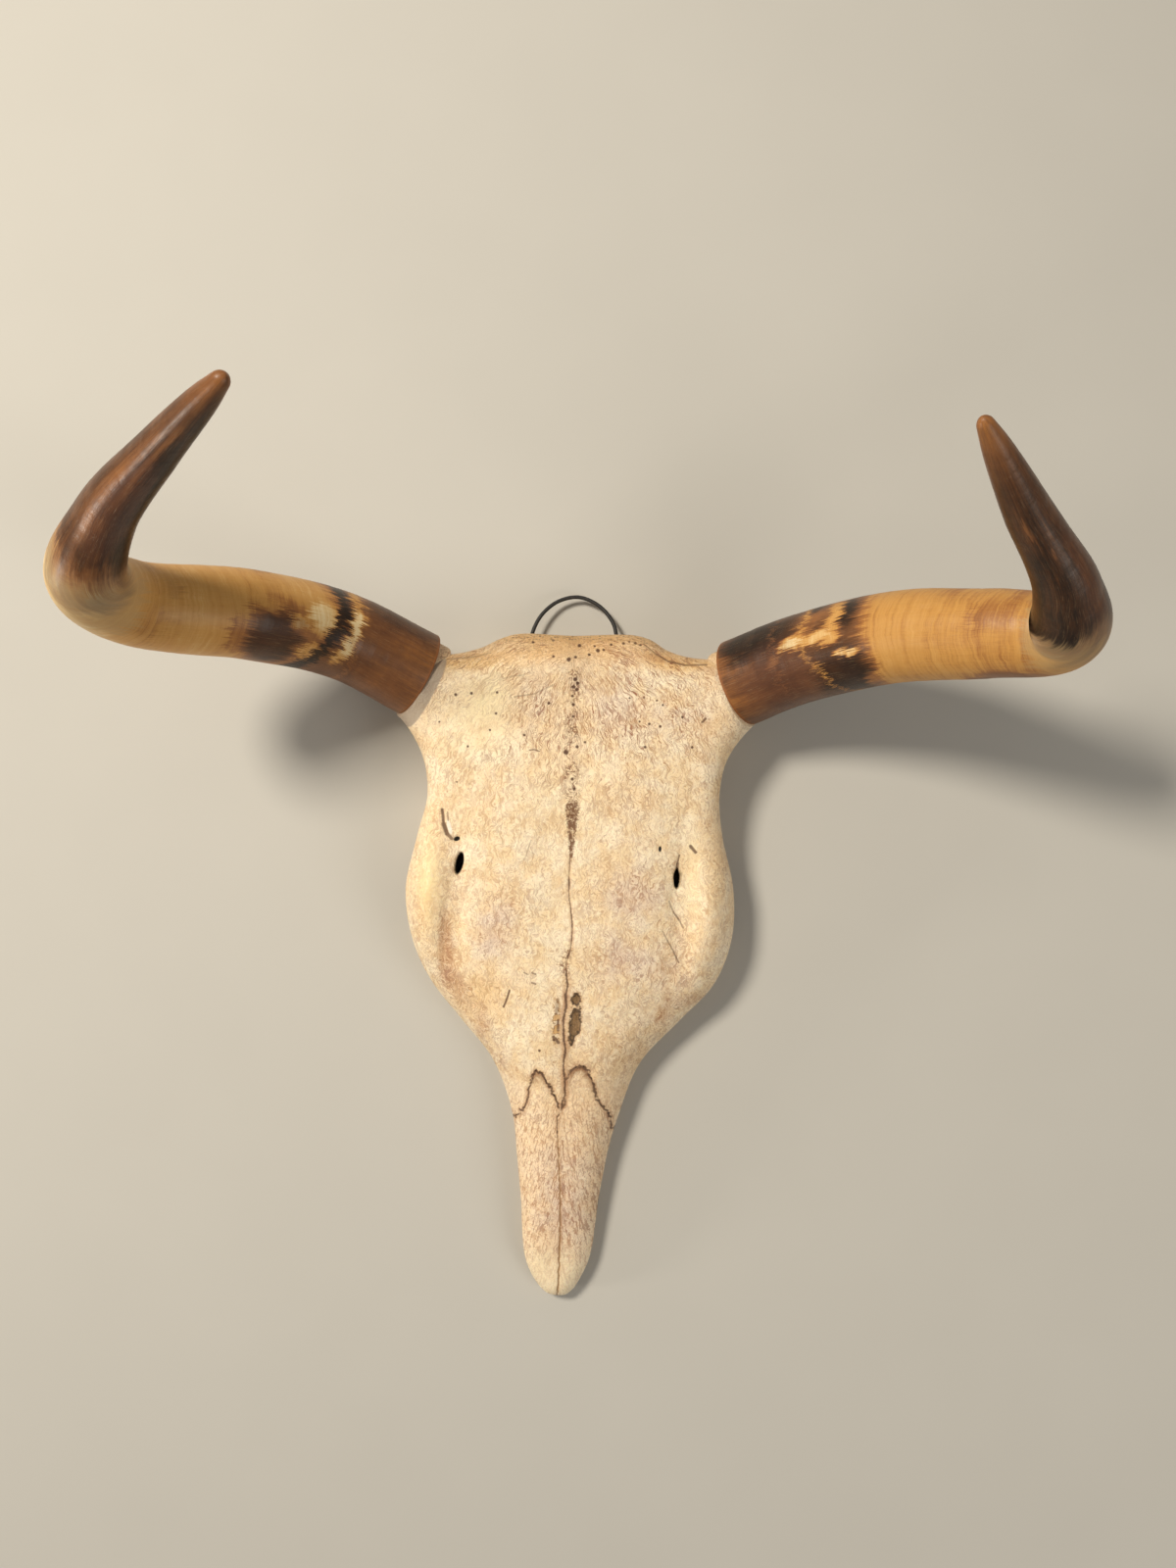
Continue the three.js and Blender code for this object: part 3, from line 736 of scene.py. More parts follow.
# Colour zones of the horns, as tone: 0 is cream, 0.4 honey, 0.75 red-brown and 1 nearly black.
# Body and shaft give tone against share of the length, and bend is where the shaft's tone begins,
# against the turn round the horn: 0 is the shown side, 1 its top and -1 its underside.
# Each patch is its share, turn, half sizes, tone and strength. Each stripe is its share, how much
# that grows per turn below a turn, half width, tone and strength.
LEFT_ZONES = dict(
    body=[
        (0, 0.62), (0.02, 0.68), (0.06, 0.7), (0.12, 0.73), (0.155, 0.74), (0.185, 0.72), (0.23, 0.6),
        (0.29, 0.45), (0.335, 0.35), (0.4, 0.33), (0.48, 0.38), (0.54, 0.29), (0.61, 0.22), (1, 0.3),
    ],
    shaft=[
        (0, 0.8), (0.6, 0.72), (0.64, 0.82), (0.72, 0.8), (0.85, 0.79), (0.92, 0.78), (0.965, 0.7),
        (1, 0.64),
    ],
    bend=[(-1, 0.64), (-0.6, 0.605), (0, 0.575), (0.4, 0.585), (1, 0.605)],
    patches=[
        (0.07, 0.7, 0.08, 0.3, 0.84, 0.6), (0.148, 0.72, 0.01, 0.3, 0.3, 0.8),
        (0.147, 0.2, 0.014, 0.24, 0, 1), (0.156, -0.14, 0.013, 0.2, 0.04, 1),
        (0.167, -0.36, 0.01, 0.14, 0.22, 0.9), (0.214, 0.18, 0.026, 0.26, 0.06, 1),
        (0.25, 0.66, 0.054, 0.38, 0.3, 1), (0.225, -0.42, 0.02, 0.18, 0.22, 0.8),
        (0.29, -0.32, 0.044, 0.56, 0.86, 1), (0.257, 0.02, 0.012, 0.12, 0.14, 0.9),
        (0.297, 0.18, 0.016, 0.12, 0.4, 0.8), (0.345, -0.3, 0.01, 0.36, 0.62, 0.7),
        (0.47, -0.2, 0.035, 0.3, 0.54, 0.6), (0.572, 0.06, 0.012, 0.18, 0.05, 0.9),
        (0.58, 0.42, 0.01, 0.14, 0.08, 0.8), (0.56, -0.85, 0.07, 0.26, 0.1, 0.8),
        (0.8, 0.62, 0.2, 0.42, 0.93, 0.9), (0.69, -0.15, 0.03, 0.2, 0.66, 0.5),
        (0.77, -0.3, 0.12, 0.18, 0.6, 0.7), (0.83, 0.1, 0.08, 0.1, 0.62, 0.7),
    ],
    stripes=[(0.178, -0.052, 0.19, 0.013, 0.93, 1), (0.132, 0, 0, 0.0022, 0.45, 0.5)],
    rosy=[
        (0.08, -0.15, 0.09, 0.9, 0.5), (0.258, 0, 0.012, 0.12, 0.9), (0.44, 0.3, 0.02, 0.2, 0.5),
        (0.74, 0.15, 0.11, 0.5, 0.9), (0.29, -0.2, 0.03, 0.4, 0.5),
    ],
    mossy=[(0.545, -0.1, 0.05, 0.8, 0.9), (0.575, 0.35, 0.03, 0.4, 0.6)],
)
RIGHT_ZONES = dict(
    body=[
        (0, 0.66), (0.015, 0.7), (0.04, 0.74), (0.12, 0.78), (0.2, 0.76), (0.262, 0.72), (0.285, 0.42),
        (0.35, 0.4), (0.45, 0.45), (0.52, 0.48), (0.555, 0.36), (0.61, 0.28), (1, 0.3),
    ],
    shaft=[
        (0, 0.9), (0.56, 0.8), (0.6, 0.9), (0.75, 0.88), (0.88, 0.82), (0.94, 0.74), (0.97, 0.64),
        (1, 0.62),
    ],
    bend=[(-1, 0.612), (-0.4, 0.608), (0, 0.6), (0.33, 0.588), (1, 0.572)],
    patches=[
        (0.078, 0.58, 0.07, 0.42, 0.94, 0.95), (0.15, 0.25, 0.026, 0.1, 0.05, 1),
        (0.105, 0.1, 0.014, 0.06, 0.5, 0.6), (0.18, 0.6, 0.026, 0.22, 0.6, 0.75),
        (0.184, 0.86, 0.012, 0.22, 0.9, 0.9), (0.196, 0.24, 0.028, 0.09, 0.12, 0.9),
        (0.17, 0.36, 0.02, 0.06, 0.4, 0.7), (0.224, 0.58, 0.014, 0.38, 0.34, 1),
        (0.248, 0.62, 0.012, 0.34, 0.92, 1), (0.225, -0.38, 0.055, 0.44, 0.94, 1),
        (0.238, -0.1, 0.024, 0.06, 0.1, 0.9), (0.215, 0.12, 0.018, 0.08, 0.26, 0.8),
        (0.265, -0.62, 0.012, 0.12, 0.4, 0.6), (0.472, 0.28, 0.024, 0.26, 0.55, 0.8),
        (0.49, -0.85, 0.055, 0.22, 0.78, 0.7), (0.578, -0.08, 0.012, 0.12, 0.1, 0.8),
        (0.81, 0.2, 0.03, 0.035, 0.68, 0.7), (0.8, -0.18, 0.028, 0.03, 0.68, 0.6),
        (0.765, -0.03, 0.016, 0.03, 0.66, 0.7), (0.75, -0.65, 0.16, 0.32, 0.78, 0.8),
    ],
    stripes=[(0.168, -0.055, 0, 0.003, 0.36, 0.8), (0.107, 0, 0, 0.0018, 0.5, 0.5)],
    rosy=[(0.1, -0.25, 0.09, 0.7, 0.9), (0.7, -0.6, 0.12, 0.4, 0.6), (0.22, -0.4, 0.05, 0.4, 0.4)],
    mossy=[(0.57, 0, 0.045, 0.8, 1)],
)


def horn_profile(horn, length):
    """Shares and radii of a sheath, from the middle of its hollow, round its rim and out to its tip."""
    girth = stations(horn["girth"])
    outer = float(girth(0)) / 2
    inner = outer - SHEATH_WALL
    lip = [(SHEATH_DEPTH, 0), (SHEATH_DEPTH, inner - 0.6), (SHEATH_DEPTH - 0.8, inner), (1, inner),
           (0.3, inner + 0.25), (0, inner + 0.9), (0, outer - 1), (0.25, outer - 0.35), (0.8, outer - 0.02)]
    body = np.arange(LIP_END, length * (1 - TIP_ROUNDING), RING_STEP)
    tip = length * (1 - TIP_ROUNDING * np.array([0.9, 0.75, 0.6, 0.45, 0.32, 0.2, 0.1, 0.04, 0.01, 0]))
    out = np.concatenate([body, tip])
    share = out / length
    past = np.clip((share - 1 + TIP_ROUNDING) / TIP_ROUNDING, 0, 1)
    radius = girth(share) / 2 * np.sqrt(np.maximum(0, 1 - past**2))
    return ([at / length for at, _ in lip] + list(share), [r for _, r in lip] + list(radius))


def make_sheath(name, horn, seed):
    line = smooth_line(horn["line"])
    length = length_of(line)
    stops, radii = horn_profile(horn, length)

    def uneven(share, angle):
        def waves(across, along):
            points = zip(np.cos(angle), np.sin(angle), share)
            return np.array([noise.noise(Vector((across * a, across * b, s * along + seed)))
                             for a, b, s in points])

        fade = soft_step(share, 0.01, 0.05) * soft_step(share, 1.0, 0.9)
        return fade * (0.010 * waves(1.3, 14) + 0.0035 * waves(0.5, 90) - 0.008)

    sheath = swept(name, line, stops, radii, SHEATH_SIDES, horn["turn"], uneven, inside_rings=5)
    close_tube(sheath)
    return sheath


def make_wire():
    line = smooth_line(WIRE_LINE, 12)
    inner = np.linspace(0.004, 0.996, 150)
    end = [0, WIRE_RADIUS * 0.8, WIRE_RADIUS]  # each end of the wire is closed and slightly rounded
    stops = [0, 0, 0.001, *inner, 0.999, 1, 1]
    radii = [*end, *[WIRE_RADIUS] * len(inner), *end[::-1]]
    wire = swept("hanging_wire_loop", line, stops, radii, 20)
    close_tube(wire)
    return wire


# ---------------------------------------------------------------- finishes


def colour(red, green, blue):
    """A screen colour from 0 to 255, as the light it stands for."""
    parts = [value / 255 for value in (red, green, blue)]
    return tuple(p / 12.92 if p <= 0.04045 else ((p + 0.055) / 1.055) ** 2.4 for p in parts) + (1,)


def math_step(operation, swapped=False):
    """A method that adds one Math node, with its two values in order or swapped."""

    def step(self, *others):
        values = (*others, self) if swapped else (self, *others)
        return self.finish.node("ShaderNodeMath", {"operation": operation}, dict(enumerate(values)))

    return step


class Amount:
    """A number that varies over a surface. Arithmetic on it adds Math nodes to its finish."""

    def __init__(self, finish, socket):
        self.finish = finish
        self.socket = socket

    __add__ = __radd__ = math_step("ADD")
    __mul__ = __rmul__ = math_step("MULTIPLY")
    __sub__, __rsub__ = math_step("SUBTRACT"), math_step("SUBTRACT", swapped=True)
    __truediv__, __rtruediv__ = math_step("DIVIDE"), math_step("DIVIDE", swapped=True)
    __pow__, __abs__ = math_step("POWER"), math_step("ABSOLUTE")
    least, most = math_step("MINIMUM"), math_step("MAXIMUM")
    root, turn_of = math_step("SQRT"), math_step("ARCTAN2")

    def rises(self, low, high, most=1):
        """0 at low and most at high, smoothly, whichever of the two is the greater."""
        return self.finish.node(
            "ShaderNodeMapRange", {"interpolation_type": "SMOOTHSTEP", "clamp": True},
            {"Value": self, "From Min": low, "From Max": high, "To Min": 0, "To Max": most})


class Finish:
    """A material, and the nodes that it is mixed from."""

    def __init__(self, name):
        self.material = bpy.data.materials.new(name)
        self.material.use_nodes = True
        self.tree = self.material.node_tree
        self.shader = self.tree.nodes["Principled BSDF"]
        self.base = None

    def node(self, kind, settings=None, values=None, output=0):
        """Any node: its settings are set first, then the values or links of its sockets."""
        made = self.tree.nodes.new(kind)
        for key, value in (settings or {}).items():
            if key == "stops":
                ramp = made.color_ramp
                while len(ramp.elements) < len(value):
                    ramp.elements.new(0.5)
                for element, (place, tint) in zip(ramp.elements, value):
                    element.position = place
                    element.color = tint
            else:
                setattr(made, key, value)
        self.fill(made.inputs, values or {})
        return Amount(self, made.outputs[output])

    def fill(self, inputs, values):
        """Links each input to what varies, or sets it to what is the same all over."""
        for key, value in values.items():
            place = inputs[key.replace("_", " ") if isinstance(key, str) else key]
            if isinstance(value, Amount):
                self.tree.links.new(value.socket, place)
            else:
                place.default_value = value

    def vectors(self, operation, *values, output="Vector"):
        return self.node("ShaderNodeVectorMath", {"operation": operation}, dict(enumerate(values)), output)

    def place(self):
        """Position on the piece in millimetres, in the skull's own frame."""
        at = self.node("ShaderNodeTexCoord", output="Object")
        return self.vectors("MULTIPLY_ADD", at, (1 / MM, 1 / MM, 1 / MM), tuple(-part for part in PLACE))

    def recorded(self, name):
        return self.node("ShaderNodeAttribute", {"attribute_name": name}, output="Fac")

    def parts(self, vector):
        split = self.node("ShaderNodeSeparateXYZ", None, {0: vector})
        return [Amount(self, split.socket.node.outputs[i]) for i in range(3)]

    def vector(self, x, y, z):
        return self.node("ShaderNodeCombineXYZ", None, {0: x, 1: y, 2: z})

    def stretch(self, vector, scale):
        return self.vectors("MULTIPLY", vector, scale)

    def shift(self, vector, other, much):
        moved = self.vectors("SUBTRACT", other, (0.5, 0.5, 0.5))
        return self.vectors("MULTIPLY_ADD", moved, (much, much, much), vector)

    def in_oval(self, vector, middle, half_sizes, lean=0):
        """A place as seen from the middle of a leaning oval, in shares of its half sizes."""
        return self.node("ShaderNodeMapping", {"vector_type": "TEXTURE"}, {
            "Vector": vector, "Location": (*middle, 0), "Rotation": (0, 0, math.radians(lean)),
            "Scale": (*half_sizes, 1)})

    def out_of_oval(self, *oval):
        """How far out a point is in an oval: 0 in its middle and 1 on its rim."""
        return self.vectors("LENGTH", self.in_oval(*oval), output="Value")

    def cloud(self, vector, scale, detail=3, roughness=0.55, output="Fac"):
        return self.node("ShaderNodeTexNoise", None, {
            "Vector": vector, "Scale": scale, "Detail": detail, "Roughness": roughness}, output)

    def cells(self, vector, scale, output="Distance"):
        return self.node("ShaderNodeTexVoronoi", {"feature": "F1"},
                         {"Vector": vector, "Scale": scale}, output)

    def blend(self, share, under, over):
        return self.node("ShaderNodeMix", {"data_type": "RGBA"}, {0: share, 6: under, 7: over}, 2)

    def paint(self, share, over):
        """Lays a screen colour, or one that varies, over the base colour, as strongly as share says."""
        self.base = self.blend(share, self.base, over if isinstance(over, Amount) else colour(*over))

    def ramp(self, amount, stops):
        return self.node("ShaderNodeValToRGB", {"stops": stops}, {0: amount}, "Color")

    def finish(self, roughness, height=None, **plain):
        """Links what varies and sets what is the same all over. Height is in millimetres."""
        inputs = self.shader.inputs
        values = {"Base Color": self.base, "Roughness": roughness, **plain}
        if height is not None:
            bump = {"Strength": 1, "Distance": MM, "Height": height}
            values["Normal"] = self.node("ShaderNodeBump", None, bump, "Normal")
        self.fill(inputs, values)
        return self.material


# Small dark holes in the bone: place and radius.
PORES = [
    (-2.2, 148.3, 1.3), (-76.5, 124, 0.9), (-66, 125, 0.9), (-49, 125.9, 0.8), (-49.5, 112.1, 0.8),
    (-53.4, 101.1, 0.7), (-67.9, 90, 0.7), (-87.2, 105.9, 0.6), (-30.6, 98.3, 0.8), (-14.8, 119.6, 0.9),
    (-2.8, 87.6, 1.5), (1.7, 69.9, 1), (3.2, 63.4, 1), (49.3, 92.1, 0.8), (59.1, 106, 0.8),
    (51.8, 107.5, 0.8), (45.3, 108.9, 0.6), (56.3, 122.9, 0.6), (38.4, 124.1, 0.6), (47.8, 124.6, 0.5),
    (80.7, 92.8, 0.8), (73.6, 112.4, 0.8), (60.4, 120.1, 0.7), (-26.4, 160.2, 0.9), (-13.2, 162.2, 0.9),
    (4.5, 158.4, 1.1), (11.1, 151.9, 0.9), (16.7, 155, 1.2), (25.5, 159.7, 0.8), (33.7, 160.8, 0.9),
    (-12.3, 150.2, 0.8), (2.2, 150, 0.9), (1.3, 119, 1), (1.5, 111.3, 0.8), (4.5, 91.4, 1),
    (2.3, 135.5, 1.2), (3.8, 133, 1), (1.4, 130.5, 1.1), (3.4, 128.8, 1), (0.6, 124.6, 0.8),
    (20.5, 155.6, 0.8), (14.6, 158.2, 0.7), (41.5, 161.2, 0.9), (45, 160, 0.8), (37.6, 162.3, 0.7),
    (-16.6, -114.2, 0.8), (-7.1, -106.5, 0.7), (9.6, 94.5, 0.7), (-75.1, 66.3, 0.5),
]
# Fine dark lines in the bone: where each starts, then the end, half width and strength of each step.
CRACKS = [
    [(87, 109.6), (89.1, 111.9, 0.6, 1)], [(-81.4, 46), (-80.8, 40.6, 0.5, 0.6)],
    [(-84.9, 47.5), (-83.9, 38.5, 0.8, 1), (-81.6, 31.6, 1.1, 1), (-78.4, 28.2, 0.8, 0.9)],
    [(-37.5, -73.3), (-39.4, -79.7, 0.5, 1), (-41.5, -85.2, 0.55, 1)],
    [(74.5, 20.5), (73.5, 14.9, 0.45, 0.9), (73.2, 9, 0.8, 1)],
    [(68.5, -10.8), (71.7, -18.2, 0.4, 0.6), (76.1, -24, 0.45, 0.8), (78.7, -29, 0.4, 0.6)],
    [(64.6, -31.1), (68.1, -37.4, 0.35, 0.5), (72.5, -45, 0.4, 0.7), (76.2, -52.6, 0.45, 0.8)],
    [(-24.8, 28.6), (-26.8, 22, 0.35, 0.45), (-28.8, 15.3, 0.35, 0.35)], [(81.7, 26.8), (85.3, 22.8, 0.8, 1)],
    [(-27, 88.4), (-24, 88.8, 0.4, 0.8), (-20.5, 87.8, 0.4, 0.8)],
    [(-47.5, 134.1), (-39.4, 136.6, 0.4, 0.25), (-31.4, 137.6, 0.4, 0.35)],
    [(-37.6, 123.3), (-24, 125.6, 0.4, 0.45), (-11.9, 131.6, 0.4, 0.4)],
    [(47.2, 161), (55.7, 154.1, 0.4, 0.6), (63.5, 149.7, 0.5, 0.8), (75.2, 147.4, 0.6, 0.8),
     (89.5, 148.4, 0.6, 0.7)],
    [(-83.7, 148.4), (-66, 150, 0.5, 0.4), (-54.5, 152.6, 0.4, 0.3)],
    [(-4.9, -78.5), (-5.6, -87.5, 0.8, 0.55)], [(-4.4, -92.5), (-4.2, -99.5, 0.6, 0.9)],
    [(-7.3, -104.3), (-3.8, -108.2, 0.8, 1)], [(-28, -60.5), (-25.2, -61.8, 0.4, 0.6)],
    [(-22.4, -60.6), (-20.2, -61.4, 0.5, 0.7)], [(-22.4, -67.4), (-20, -68.1, 0.5, 0.8)],
]
# Painted shade inside the openings, nearly black: middle across and along, half sizes and lean in degrees.
HOLE_SHADES = [
    ((-73.3, 11.6), (2.7, 7.9), -13), ((73.4, 4.3), (2.2, 7), 2),
    ((61.2, 24.6), (1, 1.9), 0), ((-75, 28.2), (2.2, 1.5), 20),
]


def bone_marks(bone, flat, ragged):
    """How strongly the small holes show: 1 in their middle, 0 away from them."""
    nearest = reduce(Amount.least, (bone.vectors("DISTANCE", flat, (x, y, 0), output="Value") / radius
                                    for x, y, radius in PORES))
    return (nearest + ragged).rises(1.45, 0.75)


def bone_line(bone, flat, ragged, start, end, half_width, strength):
    """How strongly one straight step of a crack shows."""
    step = (end[0] - start[0], end[1] - start[1], 0)
    offset = bone.vectors("SUBTRACT", flat, (*start, 0))
    run = bone.vectors("DOT_PRODUCT", offset, step, output="Value")
    share = bone.node("ShaderNodeMath", {"operation": "MULTIPLY", "use_clamp": True},
                      {0: run, 1: 1 / (step[0] ** 2 + step[1] ** 2)})
    foot = bone.node("ShaderNodeVectorMath", {"operation": "SCALE"}, {0: step, "Scale": share})
    off = bone.vectors("DISTANCE", offset, foot, output="Value")
    return (off / half_width + ragged).rises(1.8, 0.8, strength)


def bone_lines(bone, flat, ragged):
    """How strongly the fine cracks show, each as strongly as its own table row says."""
    return reduce(Amount.most, (
        bone_line(bone, flat, ragged, before[:2], (x, y), half_width, strength)
        for crack in CRACKS for before, (x, y, half_width, strength) in zip(crack, crack[1:])))


def bone_hole_shade(bone, flat, ragged):
    """How strongly the painted shade inside the openings shows."""
    nearest = reduce(Amount.least, (bone.out_of_oval(flat, *hole) for hole in HOLE_SHADES))
    return (nearest + ragged * 0.4).rises(1.12, 0.86)


def dashes(bone, vector, scale, share, largest):
    """Short strokes in a stretched cell pattern: the share of cells that have one, and its size."""
    chance = bone.parts(bone.cells(vector, scale, "Color"))[0]
    radius = chance.rises(1 - share, 1.1 - share * 0.4) * largest
    return (bone.cells(vector, scale) - radius).rises(0.04, -0.08)


def in_basin(bone, flat):
    """How far out a point is in the long basin beside the midline, a box with round corners."""
    across, along, _ = bone.parts(bone.in_oval(flat, (7, -97.4), (3.6, 12.4), -4))
    return ((across ** 4 + along ** 4) ** 0.25).most(across * 0.8 - along * 1.22)


def bone_finish():
    bone = Finish("weathered_bone")
    place = bone.place()
    x, y, z = bone.parts(place)
    flat = bone.stretch(place, (1, 1, 0))
    waves = bone.cloud(place, 0.1, 2, output="Color")
    wobble = bone.parts(waves)
    ripples = bone.cloud(place, 0.35, 1, output="Color")
    bent = bone.shift(bone.shift(place, waves, 16), ripples, 2.6)
    broad = bone.cloud(place, 0.02, 3)
    patchy = bone.cloud(place, 0.07, 5, 0.62)
    fine = bone.cloud(place, 0.8, 4, 0.65)
    grit = bone.cloud(place, 2.4, 2, 0.6)
    gold, brown, grey_patch, polish = (bone.recorded(kind) for kind in ("gold", "brown", "grey", "polish"))
    sawn, filler = bone.recorded("sawn"), bone.recorded("filler")
    to_seam, to_middle = bone.recorded("to_seam"), bone.recorded("to_middle")
    on_nose = y.rises(-126, -162)

    # Ivory that turns yellow towards the edges and the poll, with grey and brown patches.
    bone.base = bone.blend(patchy.rises(0.36, 0.64), colour(242, 216, 174), colour(251, 234, 203))
    bone.paint(broad.rises(0.42, 0.66) * 0.45, (240, 207, 162))
    bone.paint((gold * (0.4 + patchy * 1.3)).rises(0.1, 1) * 0.75, (242, 196, 126))
    bone.paint(on_nose * 0.5, (246, 214, 176))
    # Painted light: the nose tip is made paler, as if lit more strongly where its slope turns to the lamps.
    painted_light_on_tip = y.rises(-246, -288)
    bone.paint(painted_light_on_tip * 0.95, (255, 236, 202))
    # Painted highlight: paler golden colour where light gleams on the bone.
    bone.paint(polish * patchy.rises(0.3, 0.6) * 0.6, (255, 232, 178))
    bone.paint((grey_patch * (0.3 + patchy * 1.4)).rises(0.08, 0.8) * 0.6, (214, 190, 178))
    bone.paint((brown * (0.2 + fine * 1.7)).rises(0.15, 0.85) * 0.55, (190, 136, 94))

    near_poll = y.rises(139, 153)
    bone.paint(near_poll * (0.25 + patchy * 0.8) * 0.7, (230, 184, 122))

    # Strokes that fan out from the top of the middle, and short curling ones elsewhere.
    fan_x, fan_y = x - 0.3, 152 - y
    fan_radius = (fan_x * fan_x + fan_y * fan_y).root()
    fan_angle = fan_x.turn_of(fan_y)
    curl = bone.parts(ripples)
    fan_across = fan_angle * (40 + fan_radius * 0.5) + wobble[0] * 12 + curl[0] * 2.4
    fan = bone.vector(fan_across, fan_radius * 0.13 + wobble[1] * 2 + curl[1] * 0.6, z * 0.13)
    swirl = bone.stretch(bent, (1, 0.17, 0.5))
    level = bone.stretch(bent, (0.34, 1, 0.5))
    wear = bone.cloud(place, 0.045, 3, 0.6)
    on_face = 1 - on_nose
    fur = bone.cloud(fan, 1.25, 2, 0.45)
    pale = fur.rises(0.46, 0.34)
    fur = fur.rises(0.52, 0.61) * (wear.rises(0.34, 0.6) * 0.75 + 0.25)
    fan_dashes = dashes(bone, fan, 1, 0.36, 0.42)
    curls = bone.cloud(swirl, 1.25, 2, 0.45).rises(0.53, 0.62)
    nose_side = to_middle.rises(-0.2, 0.2) * 9
    nose_grain = bone.vector(abs(to_middle) + y * 0.2 + curl[0] * 3, y * 0.11 + curl[1] * 0.7, nose_side)
    nose_fur = bone.cloud(nose_grain, 1.05, 2, 0.45).rises(0.52, 0.6)
    level_dashes = dashes(bone, level, 0.85, 0.35, 0.4) * wear.rises(0.62, 0.42)
    specks = dashes(bone, bent, 1.25, 0.3, 0.42)
    near_fan = fan_radius.rises(120, 60) * fan_radius.rises(4, 16)
    worms = abs(bone.cloud(bent, 0.4, 1, 0.4) - 0.5).rises(0.075, 0.02)
    worms = worms * bone.cloud(place, 0.45, 1).rises(0.48, 0.6)
    near_middle = abs(to_middle).rises(8, 2) * y.rises(30, 50) * y.rises(150, 140)
    strokes = (fur * (0.6 + near_fan * 0.28)).most(fan_dashes * (0.7 + near_fan * 0.3)) * on_face
    strokes = strokes.most(curls * (0.5 + on_nose * 0.12)).most(nose_fur * on_nose * 0.8)
    strokes = strokes.most(level_dashes * on_face * 0.5)
    strokes = strokes.most(specks * (0.65 + brown * 0.6 - on_nose * 0.45))
    strokes = strokes.most(worms * (0.2 + on_nose * 0.06))
    strokes = strokes * (0.6 + near_fan * 0.2 + grey_patch * 0.5 + brown * 0.5 + fine * 0.5)
    # Strokes fade under the painted highlights and under the painted light of the nose tip.
    strokes = strokes * (1 - sawn) * (1 - polish * 0.6) * (1 - painted_light_on_tip * 0.5)
    stroke_tint = bone.blend(patchy.rises(0.35, 0.6), colour(160, 100, 56), colour(146, 92, 66))
    bone.paint(pale * 0.35, (255, 240, 210))
    bone.paint(near_middle * patchy.rises(0.35, 0.65) * 0.2, (198, 158, 118))
    bone.paint(strokes * 0.8, stroke_tint)
    crumbs = abs(bone.cloud(bent, 0.3, 2, 0.5) - 0.5).rises(0.045, 0.02).most(worms)
    jog = abs(to_middle + 1).rises(4.2, 2.2) * y.rises(-64, -60) * y.rises(-42, -46)
    crumbs = crumbs * (near_middle * bone.cloud(place, 0.11, 2).rises(0.44, 0.56)).most(jog)
    bone.paint(crumbs * 0.85, (112, 66, 34))

    # The stain at the top of the open middle seam, and the basins beside it.
    ragged = (fine - 0.5) * 2
    stain = 1.3 - abs(to_middle - 0.9) / (1 + (y - 16).most(0) * 0.125 * y.rises(60, 50).most(0.3))
    stain = (stain + ragged * 0.9).rises(0.25, 0.75) * y.rises(13, 17) * y.rises(57, 53)
    stain = stain * (0.25 + 0.75 * bone.cloud(place, 0.45, 4, 0.75).rises(0.4, 0.5))
    bone.paint(stain * 0.95, (112, 72, 40))
    basins = in_basin(bone, flat).least(bone.out_of_oval(flat, (7.3, -78.2), (3.2, 4.1)))
    basins = basins + ragged * 0.4 + (curl[0] - 0.5) * 1.1
    basin_rim = basins.rises(1.6, 0.95)
    basin_edge = abs(basins - 0.94).rises(0.24, 0.06)
    basins = basins.rises(1.05, 0.85)
    bone.paint(basin_rim * 0.45, (202, 146, 88))
    grime = bone.blend(grit.rises(0.42, 0.58), colour(96, 70, 40), colour(144, 110, 68))
    bone.paint(basins * (0.55 + fine * 0.7), grime)
    bone.paint(basin_edge * 0.85, (58, 38, 22))
    beside = bone.out_of_oval(flat, (-5.6, -94), (3.4, 19)).rises(1.2, 0.5)
    flakes = bone.cloud(place, 0.22, 4, 0.6)
    bone.paint(beside * flakes.rises(0.49, 0.52) * 0.75, (196, 146, 78))
    bone.paint(beside * abs(flakes - 0.52).rises(0.03, 0.012) * 0.85, (104, 66, 34))

    # Open seams between the bones, darker where they gape.
    open_middle = y.rises(22, 12) * y.rises(-158, -154)
    gape = bone.cloud(place, 0.14, 4, 0.7)
    low_middle = y.rises(-55, -68)
    off_middle = abs(to_middle + (fine - 0.5) * (1.1 + low_middle * 1.8))
    off_seam = to_seam + (fine - 0.5) * 0.9
    middle_line = ((gape - 0.33) * 1.7 + low_middle * 0.35 - off_middle).rises(-0.3, 0.16) * open_middle
    forehead_seam = y.rises(-177, -172)
    seam_line = (0.02 + gape * 1.1 - off_seam).rises(-0.3, 0.18) * forehead_seam
    nose_line = (0.22 + gape * 0.6 - off_seam).rises(-0.35, 0.15) * (1 - forehead_seam)
    soft_line = off_seam.rises(3, 0.3) * (0.25 + 0.35 * forehead_seam)
    soft_line = soft_line.most(off_middle.rises(2.4, 0.3) * 0.5 * open_middle)
    soft_line = soft_line.most(off_middle.rises(4.4, 1) * low_middle * open_middle * 0.65)
    bone.paint(soft_line * patchy.rises(0.3, 0.62), (182, 128, 82))
    # Painted shade on the nose bones inside the peaks of the zigzag seam with the forehead.
    shade_in_peaks = bone.recorded("nasal") * off_seam.rises(5, 0.5) * y.rises(-146, -128)
    bone.paint(shade_in_peaks * (0.3 + fine * 1.1), (140, 98, 62))
    bone.paint(nose_line * 0.8, (146, 104, 56))
    seams = middle_line.most(seam_line)
    bone.paint(seams * 0.85, (88, 58, 36))

